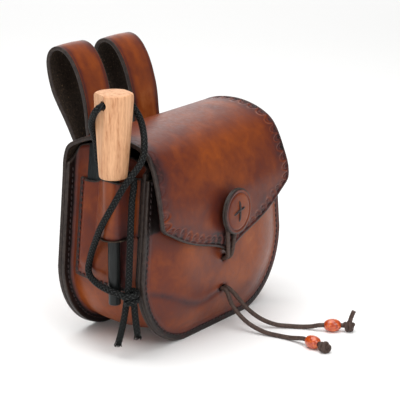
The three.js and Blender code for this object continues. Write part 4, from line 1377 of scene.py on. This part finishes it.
class POUCH_OT_sheath_patch(Operator):
    """Sheath patch with the striker pocket, the moulded fire-steel channel and the slit below it"""
    bl_idname = "pouch.sheath_patch"
    bl_label = "Sheath patch"

    def execute(self, context):
        high_rows = 44
        low_rows = 26

        def height(y, v):
            spot = v * (high_rows + low_rows)
            if spot <= high_rows:
                return blend(patch_top(y), slit_height(y), spot / high_rows)
            return blend(slit_height(y), patch_bottom(y), (spot - high_rows) / low_rows)

        def pocket(u, v):
            y = blend(POCKET_FRONT, PATCH_REAR, u)
            return self.dressed(y, u, height(y, v), "pocket")

        def channel(u, v):
            y = spline(channel_section(SLIT_Z), u).x
            return self.dressed(y, u, blend(patch_top(y), slit_height(y), v), "channel")

        def flat(u, v):
            y = blend(PATCH_FRONT, POCKET_FRONT, u)
            return self.dressed(y, u, blend(slit_height(y), patch_bottom(y), v), "flat")

        def whole(u, v):
            if v * (high_rows + low_rows) <= high_rows and u < 0.5:
                return channel(2 * u, v * (high_rows + low_rows) / high_rows)
            if u < 0.5:
                return flat(2 * u, (v * (high_rows + low_rows) - high_rows) / low_rows)
            return pocket(2 * u - 1, v)

        shape = new_shape()
        add_grid(shape, columns=44, rows=high_rows + low_rows, place=pocket)
        add_grid(shape, columns=66, rows=high_rows, place=channel)
        add_grid(shape, columns=36, rows=low_rows, place=flat)
        bmesh.ops.remove_doubles(shape, verts=shape.verts[:], dist=2e-5)
        thicken(shape, shape.faces[:], PATCH)
        around = edge_frames(whole, AROUND, (110, 70, 80, 70))
        add_edge(shape, around, PATCH, reach=0.4, closed=True)
        mouth = edge_frames(channel, (lambda t: (0.2 + 0.78 * t, 1.0),), (60,))
        add_edge(shape, mouth, PATCH, reach=0.3, closed=False, finish=FLESH)
        finish_piece("sheath_patch", shape, LEATHER_SIDES, ("sheath_patch",))
        return {'FINISHED'}

    @staticmethod
    def dressed(y, u, z, part):
        if part == "channel":
            y, out = spline(channel_section(z), u)
        elif part == "pocket":
            out = pocket_height(y, z)
        else:
            out = flat_height(y, z)
        rear = PATCH_REAR - y
        low = z - patch_bottom(y)
        near = min(rear, y - PATCH_FRONT + 3, low, patch_top(y) - z + 2)
        groove = clamp01(1 - ((min(rear, low) - PATCH_STITCH) / 1.1) ** 2)
        # Painted highlight along the pocket's fold line; painted light on the channel's lit side and painted
        # shade on its front flank and on the flat below the slit, under the rod
        fold = bell(y, POCKET_FRONT - 0.7, 0.4) * rise(z, 84, 8)
        shade = fall(y, STEEL[1] - 2.5, 4) if part == "channel" else fall(y, -42, 8)
        shade *= 1 - fall(y, -55.5, 2)
        rubbed = WEAR_AND_PAINTED_LIGHT["patch"] + WEAR_AND_PAINTED_LIGHT["painted fold highlight"] * fold
        rubbed += WEAR_AND_PAINTED_LIGHT["channel"] * fall(y, POCKET_FRONT, 3) * (1 - shade)
        dye = DYE_AND_PAINTED_SHADE["patch groove"] * groove + DYE_AND_PAINTED_SHADE["painted channel shade"] * shade
        if part == "channel":
            dye += DYE_AND_PAINTED_SHADE["slit"] * bell(z, slit_height(y), 1.6)
        point = Vector((web_x(y, z) - out + GROOVE_DEPTH * groove, y, z))
        return point, 2 + 3 * near, dye, rubbed


class POUCH_OT_belt_loops(Operator):
    """The two straps folded over a belt and sewn to the back by both ends"""
    bl_idname = "pouch.belt_loops"
    bl_label = "Belt loops"

    def execute(self, context):
        path = even_route(LOOP_PATH, 2.0)
        last = len(path) - 1
        wall = STRAP_THICK - 0.5
        for name, start, stop, drop in BELT_LOOPS:
            middle = (start + stop) / 2

            def place(u, v):
                spot = v * last
                k = min(int(spot), last - 1)
                line = path[k].lerp(path[k + 1], spot - k)
                along = (path[min(k + 1, last)] - path[max(k - 1, 0)]).normalized()
                if spot - k > 0:
                    ahead = (path[min(k + 2, last)] - path[k]).normalized()
                    along = along.lerp(ahead, spot - k).normalized()
                face = Vector((-along.y, along.x))
                wide = 0.5 - 0.5 * math.cos(math.pi * u) * (1 + 0.18 * math.sin(math.pi * u) ** 2)
                x = blend(start, stop, wide)
                side = min(x - start, stop - x)
                crown = 0.5 * (1 - ((x - middle) / (stop - start) * 2) ** 2)
                out = line + face * (wall - STRAP_THICK / 2 + crown)
                streak = noise.noise(Vector((x * 0.16, spot * 0.07, start)))
                # Painted highlight along each edge of the strap; the streaks and the worn front are wear
                rubbed = WEAR_AND_PAINTED_LIGHT["loop"] + WEAR_AND_PAINTED_LIGHT["painted loop edge highlight"] * bell(side, 0.7, 0.5)
                rubbed += WEAR_AND_PAINTED_LIGHT["loop streaks"] * rise(side, 3, 6) * clamp01(0.5 + 1.2 * streak)
                low = fall(out.y, 154, 14) * fall(v, 0.4, 0.1)
                rubbed += WEAR_AND_PAINTED_LIGHT["loop front"] * rise(side, 2, 4) * low
                if v < 0.5:
                    rubbed += rubbed_at(x, out.y, LOOP_RUB)
                dye = DYE_AND_PAINTED_SHADE["loop line"] * bell(side, 2.3, 0.6)
                return Vector((x, out.x, out.y - drop)), 1 + 3.2 * side, dye, rubbed

            leather_sheet(name, place, columns=26, rows=last, ends=(12, 12), thickness=wall, reach=0.45)
        return {'FINISHED'}


class POUCH_OT_button(Operator):
    """Two-layer leather button with a tooled ring, its holding stitches and its post"""
    bl_idname = "pouch.button"
    bl_label = "Button"

    def execute(self, context):
        turn = Matrix.Rotation(math.pi / 2, 4, 'X')
        matrix = Matrix.Translation(Vector((0, BUTTON_BACK, BUTTON_Z)) * MM) @ turn
        shape = new_shape()
        verts = turned(shape, BUTTON_PROFILE, segments=72, matrix=matrix)
        edge, dye, rub = (shape.verts.layers.float[name] for name in MARKS)
        for vert in verts:
            reach = math.hypot(vert.co.x, vert.co.z - BUTTON_Z * MM) / MM
            front = vert.co.y < (BUTTON_BACK - 3.2) * MM
            vert[edge] = 14.0 * fall(reach, 14.6, 2) if front else 0.0
            # The face is painted lighter towards its right side, as if lit from there
            vert[rub] = 0.4 + 0.3 * clamp01(0.5 + vert.co.x / (20 * MM)) if front else 0.0
            vert[dye] = 0.5 if 12.2 < reach < 13.2 and front else 0.0
        for polygon in shape.faces:
            middle = polygon.calc_center_median()
            reach = math.hypot(middle.x, middle.z - BUTTON_Z * MM)
            polygon.material_index = BURNISHED if reach > 14.4 * MM else GRAIN
        finish_piece("button", shape, LEATHER_SIDES, ("button",))
        self.holding_stitches()
        post = new_shape()
        length = POST_BACK - BUTTON_BACK - 0.3
        profile = [(0, 0), (POST_R - 0.3, 0), (POST_R, 0.4), (POST_R - 0.6, length / 2)]
        profile += [(POST_R, length - 0.4), (POST_R - 0.3, length), (0, length)]
        matrix = Matrix.Translation(Vector((0, POST_BACK, BUTTON_Z)) * MM) @ turn
        turned(post, profile, segments=32, matrix=matrix)
        finish_piece("button_post", post, [waxed_round_lace], ("button_post",))
        return {'FINISHED'}

    @staticmethod
    def holding_stitches():
        shape = new_shape()
        face = BUTTON_BACK - 3.92
        strokes = (((0, -7.2), (0.5, 0), (0, 7.2)), ((-6.2, -1.6), (0, 0.8), (6.2, 1.6)))
        for start, middle, stop in strokes:
            low, high = ([blend(a, b, 0.25) for a, b in zip(end, middle)] for end in (start, stop))
            lifts = ((start, 0.9), (low, -0.12), (middle, -0.3), (high, -0.12), (stop, 0.9))
            route = [(x, face + lift, BUTTON_Z + z) for (x, z), lift in lifts]
            add_cord(shape, route, 0.8, sides=10, step=0.5)
        finish_piece("button_stitches", shape, [waxed_seam_thread])


class POUCH_OT_fire_steel(Operator):
    """Ferro rod and its tapered beech handle with two flats and a cord hole"""
    bl_idname = "pouch.fire_steel"
    bl_label = "Fire steel"

    def execute(self, context):
        rod = new_shape()
        top = HANDLE_BOTTOM + ROD_SEAT
        profile = [(0, ROD_BOTTOM), (ROD_R - 0.9, ROD_BOTTOM), (ROD_R - 0.25, ROD_BOTTOM + 0.4)]
        profile += [(ROD_R, ROD_BOTTOM + 1.2), (ROD_R, 60), (ROD_R, 90), (ROD_R, top), (0, top)]
        turned(rod, profile, segments=40, matrix=Matrix.Translation(Vector((*STEEL, 0)) * MM))
        sharpen(rod, degrees=40)
        finish_piece("fire_steel_rod", rod, [coated_ferrocerium], ("fire_steel_rod",))
        handle = new_shape()
        first = HANDLE_PROFILE[0][1]
        outline = [(0, first)] + HANDLE_PROFILE + [(0, HANDLE_PROFILE[-1][1] + 0.1)]
        turned(handle, outline, segments=72, matrix=Matrix.Identity(4))
        for vert in handle.verts:
            up = vert.co.z - HANDLE_BOTTOM * MM
            vert.co.x += STEEL[0] * MM + HANDLE_LEAN[0] * up
            vert.co.y += STEEL[1] * MM + HANDLE_LEAN[1] * up
        up = CORD_HOLE[1] - HANDLE_BOTTOM
        axis = Vector((STEEL[0] + HANDLE_LEAN[0] * up, STEEL[1] + HANDLE_LEAN[1] * up, CORD_HOLE[1]))
        for side in (-1, 1):
            normal = Vector((side * math.cos(FLAT_TURN), -side * math.sin(FLAT_TURN), 0))
            cut = bmesh.ops.bisect_plane(handle, geom=handle.verts[:] + handle.edges[:] + handle.faces[:],
                                         plane_co=(axis + normal * FLAT_FROM_AXIS) * MM, plane_no=normal,
                                         clear_outer=True, dist=1e-7)
            rim = [item for item in cut["geom_cut"] if isinstance(item, bmesh.types.BMEdge)]
            bmesh.ops.holes_fill(handle, edges=rim, sides=0)
        bmesh.ops.recalc_face_normals(handle, faces=handle.faces[:])
        sharpen(handle, degrees=24)
        piece = finish_piece("fire_steel_handle", handle, [oiled_beech], ("fire_steel_handle",))
        drill_cord_hole(piece)
        return {'FINISHED'}


class POUCH_OT_striker(Operator):
    """Flat black striker plate in the patch's pocket"""
    bl_idname = "pouch.striker"
    bl_label = "Striker"

    def execute(self, context):
        low = web_x(STRIKER["middle"], STRIKER["bottom"])
        high = web_x(STRIKER["middle"], WEB_TOP)
        lean = math.atan2(high - low, WEB_TOP - STRIKER["bottom"])
        length = (STRIKER["top"] - STRIKER["bottom"]) / math.cos(lean)
        shape = new_shape()
        size = Matrix.Diagonal((STRIKER["thick"] * MM, STRIKER["width"] * MM, length * MM, 1))
        bmesh.ops.create_cube(shape, size=1.0, matrix=size)
        upright = [edge for edge in shape.edges if abs((edge.verts[0].co - edge.verts[1].co).x) > 0.5 * MM]
        bmesh.ops.bevel(shape, geom=upright, offset=1.4 * MM, offset_type='OFFSET', affect='EDGES',
                        segments=5, profile=0.5, material=-1)
        bmesh.ops.bevel(shape, geom=shape.edges[:], offset=0.25 * MM, offset_type='OFFSET', affect='EDGES',
                        segments=2, profile=0.5, material=-1)
        shift = Matrix.Translation(Vector((-STRIKER["thick"] / 2 - STRIKER["lift"], 0, length / 2)) * MM)
        base = Matrix.Translation(Vector((low, STRIKER["middle"], STRIKER["bottom"])) * MM)
        bmesh.ops.transform(shape, matrix=base @ Matrix.Rotation(lean, 4, 'Y') @ shift, verts=shape.verts[:])
        for face in shape.faces:
            face.smooth = True
        sharpen(shape, degrees=35)
        finish_piece("striker_plate", shape, [black_oxide_steel], ("striker_plate",))
        return {'FINISHED'}


class POUCH_OT_stitching(Operator):
    """Saddle stitches of the panels, the sheath patch and the belt loops"""
    bl_idname = "pouch.stitching"
    bl_label = "Stitching"

    def execute(self, context):
        pitch = context.scene.pouch_leather.stitch_pitch / MM
        for name, y, side in OUTLINE_SEAMS:
            outline = (panel_outline(k / SEAM_POINTS, STITCH_INSET) for k in range(SEAM_POINTS + 1))
            self.seam(name, [(Vector((x, y, z)), Vector((0, side, 0))) for x, z in outline], pitch)
        self.seam("patch_stitches", self.patch_seam(), pitch, 1.5)
        for name, start, stop, drop in BELT_LOOPS:
            self.seam(name.replace("belt_loop", "loop_stitches"), self.loop_seam(start, stop, drop), pitch)
        return {'FINISHED'}

    @staticmethod
    def seam(name, seam, pitch, thread=1.2):
        shape = new_shape()
        add_stitches(shape, seam, pitch, pitch * 0.74, thread)
        for face in shape.faces:
            face.smooth = True
        finish_piece(name, shape, [waxed_seam_thread])

    @staticmethod
    def patch_seam():
        seam = []
        y = PATCH_REAR - PATCH_STITCH
        low = patch_bottom(y) + PATCH_STITCH
        route = [(y, blend(PATCH_TOP - 1.5, low, k / 60)) for k in range(61)]
        route += [(blend(y, PATCH_FRONT + 1, k / 40), 0.0) for k in range(1, 41)]
        for y, z in route:
            z = z if z else patch_bottom(y) + PATCH_STITCH
            out = pocket_height(y, z) if y > POCKET_FRONT else flat_height(y, z)
            seam.append((Vector((web_x(y, z) - out + 0.2, y, z)), Vector((-1, 0, 0))))
        return seam

    @staticmethod
    def loop_seam(start, stop, drop):
        left = start + LOOP_SEAM["inset"]
        right = stop - LOOP_SEAM["inset"]
        top = LOOP_SEAM["top"]
        bottom = LOOP_SEAM["bottom"]
        corners = [(left, top), (left, bottom), (right, bottom), (right, top), (left, top)]
        high, low = LOOP_PATH[-2:]
        steps = 12
        seam = []
        for (ax, az), (bx, bz) in zip(corners, corners[1:]):
            for k in range(steps):
                x = blend(ax, bx, k / steps)
                z = blend(az, bz, k / steps)
                y = blend(low[0], high[0], clamp01((z - low[1]) / (high[1] - low[1]))) + STRAP_THICK / 2
                seam.append((Vector((x, y, z - drop)), Vector((0, 1, 0))))
        seam.append(seam[0])
        return seam


class POUCH_PT_panel(Panel):
    """Sizes, colours and building steps of the pouch"""
    bl_idname = "POUCH_PT_panel"
    bl_label = "Hunting pouch"
    bl_space_type = 'VIEW_3D'
    bl_region_type = 'UI'
    bl_category = "Pouch"

    def draw(self, context):
        for group in (context.scene.pouch_leather, context.scene.pouch_cords, context.scene.pouch_tools,
                      context.scene.pouch_stage):
            box = self.layout.box()
            for name in group.__annotations__:
                box.prop(group, name)
        for step in OPERATORS:
            self.layout.operator(step.bl_idname)


GROUPS = (("pouch_leather", PouchLeather), ("pouch_cords", PouchCords), ("pouch_tools", PouchTools),
          ("pouch_stage", PouchStage))
OPERATORS = (POUCH_OT_stage, POUCH_OT_laces, POUCH_OT_lanyard, POUCH_OT_back_flap, POUCH_OT_front_panel,
             POUCH_OT_gusset, POUCH_OT_sheath_patch, POUCH_OT_belt_loops, POUCH_OT_button,
             POUCH_OT_fire_steel, POUCH_OT_striker, POUCH_OT_stitching)


def register():
    for name, group in GROUPS:
        bpy.utils.register_class(group)
        setattr(bpy.types.Scene, name, PointerProperty(type=group))
    for step in OPERATORS + (POUCH_PT_panel,):
        bpy.utils.register_class(step)


def unregister():
    for step in reversed(OPERATORS + (POUCH_PT_panel,)):
        bpy.utils.unregister_class(step)
    for name, group in reversed(GROUPS):
        delattr(bpy.types.Scene, name)
        bpy.utils.unregister_class(group)


def main():
    register()
    bpy.ops.pouch.stage()
    bpy.ops.pouch.laces()
    bpy.ops.pouch.lanyard()
    bpy.ops.pouch.back_flap()
    bpy.ops.pouch.front_panel()
    bpy.ops.pouch.gusset()
    bpy.ops.pouch.sheath_patch()
    bpy.ops.pouch.belt_loops()
    bpy.ops.pouch.button()
    bpy.ops.pouch.fire_steel()
    bpy.ops.pouch.striker()
    bpy.ops.pouch.stitching()


if __name__ == "__main__":
    main()
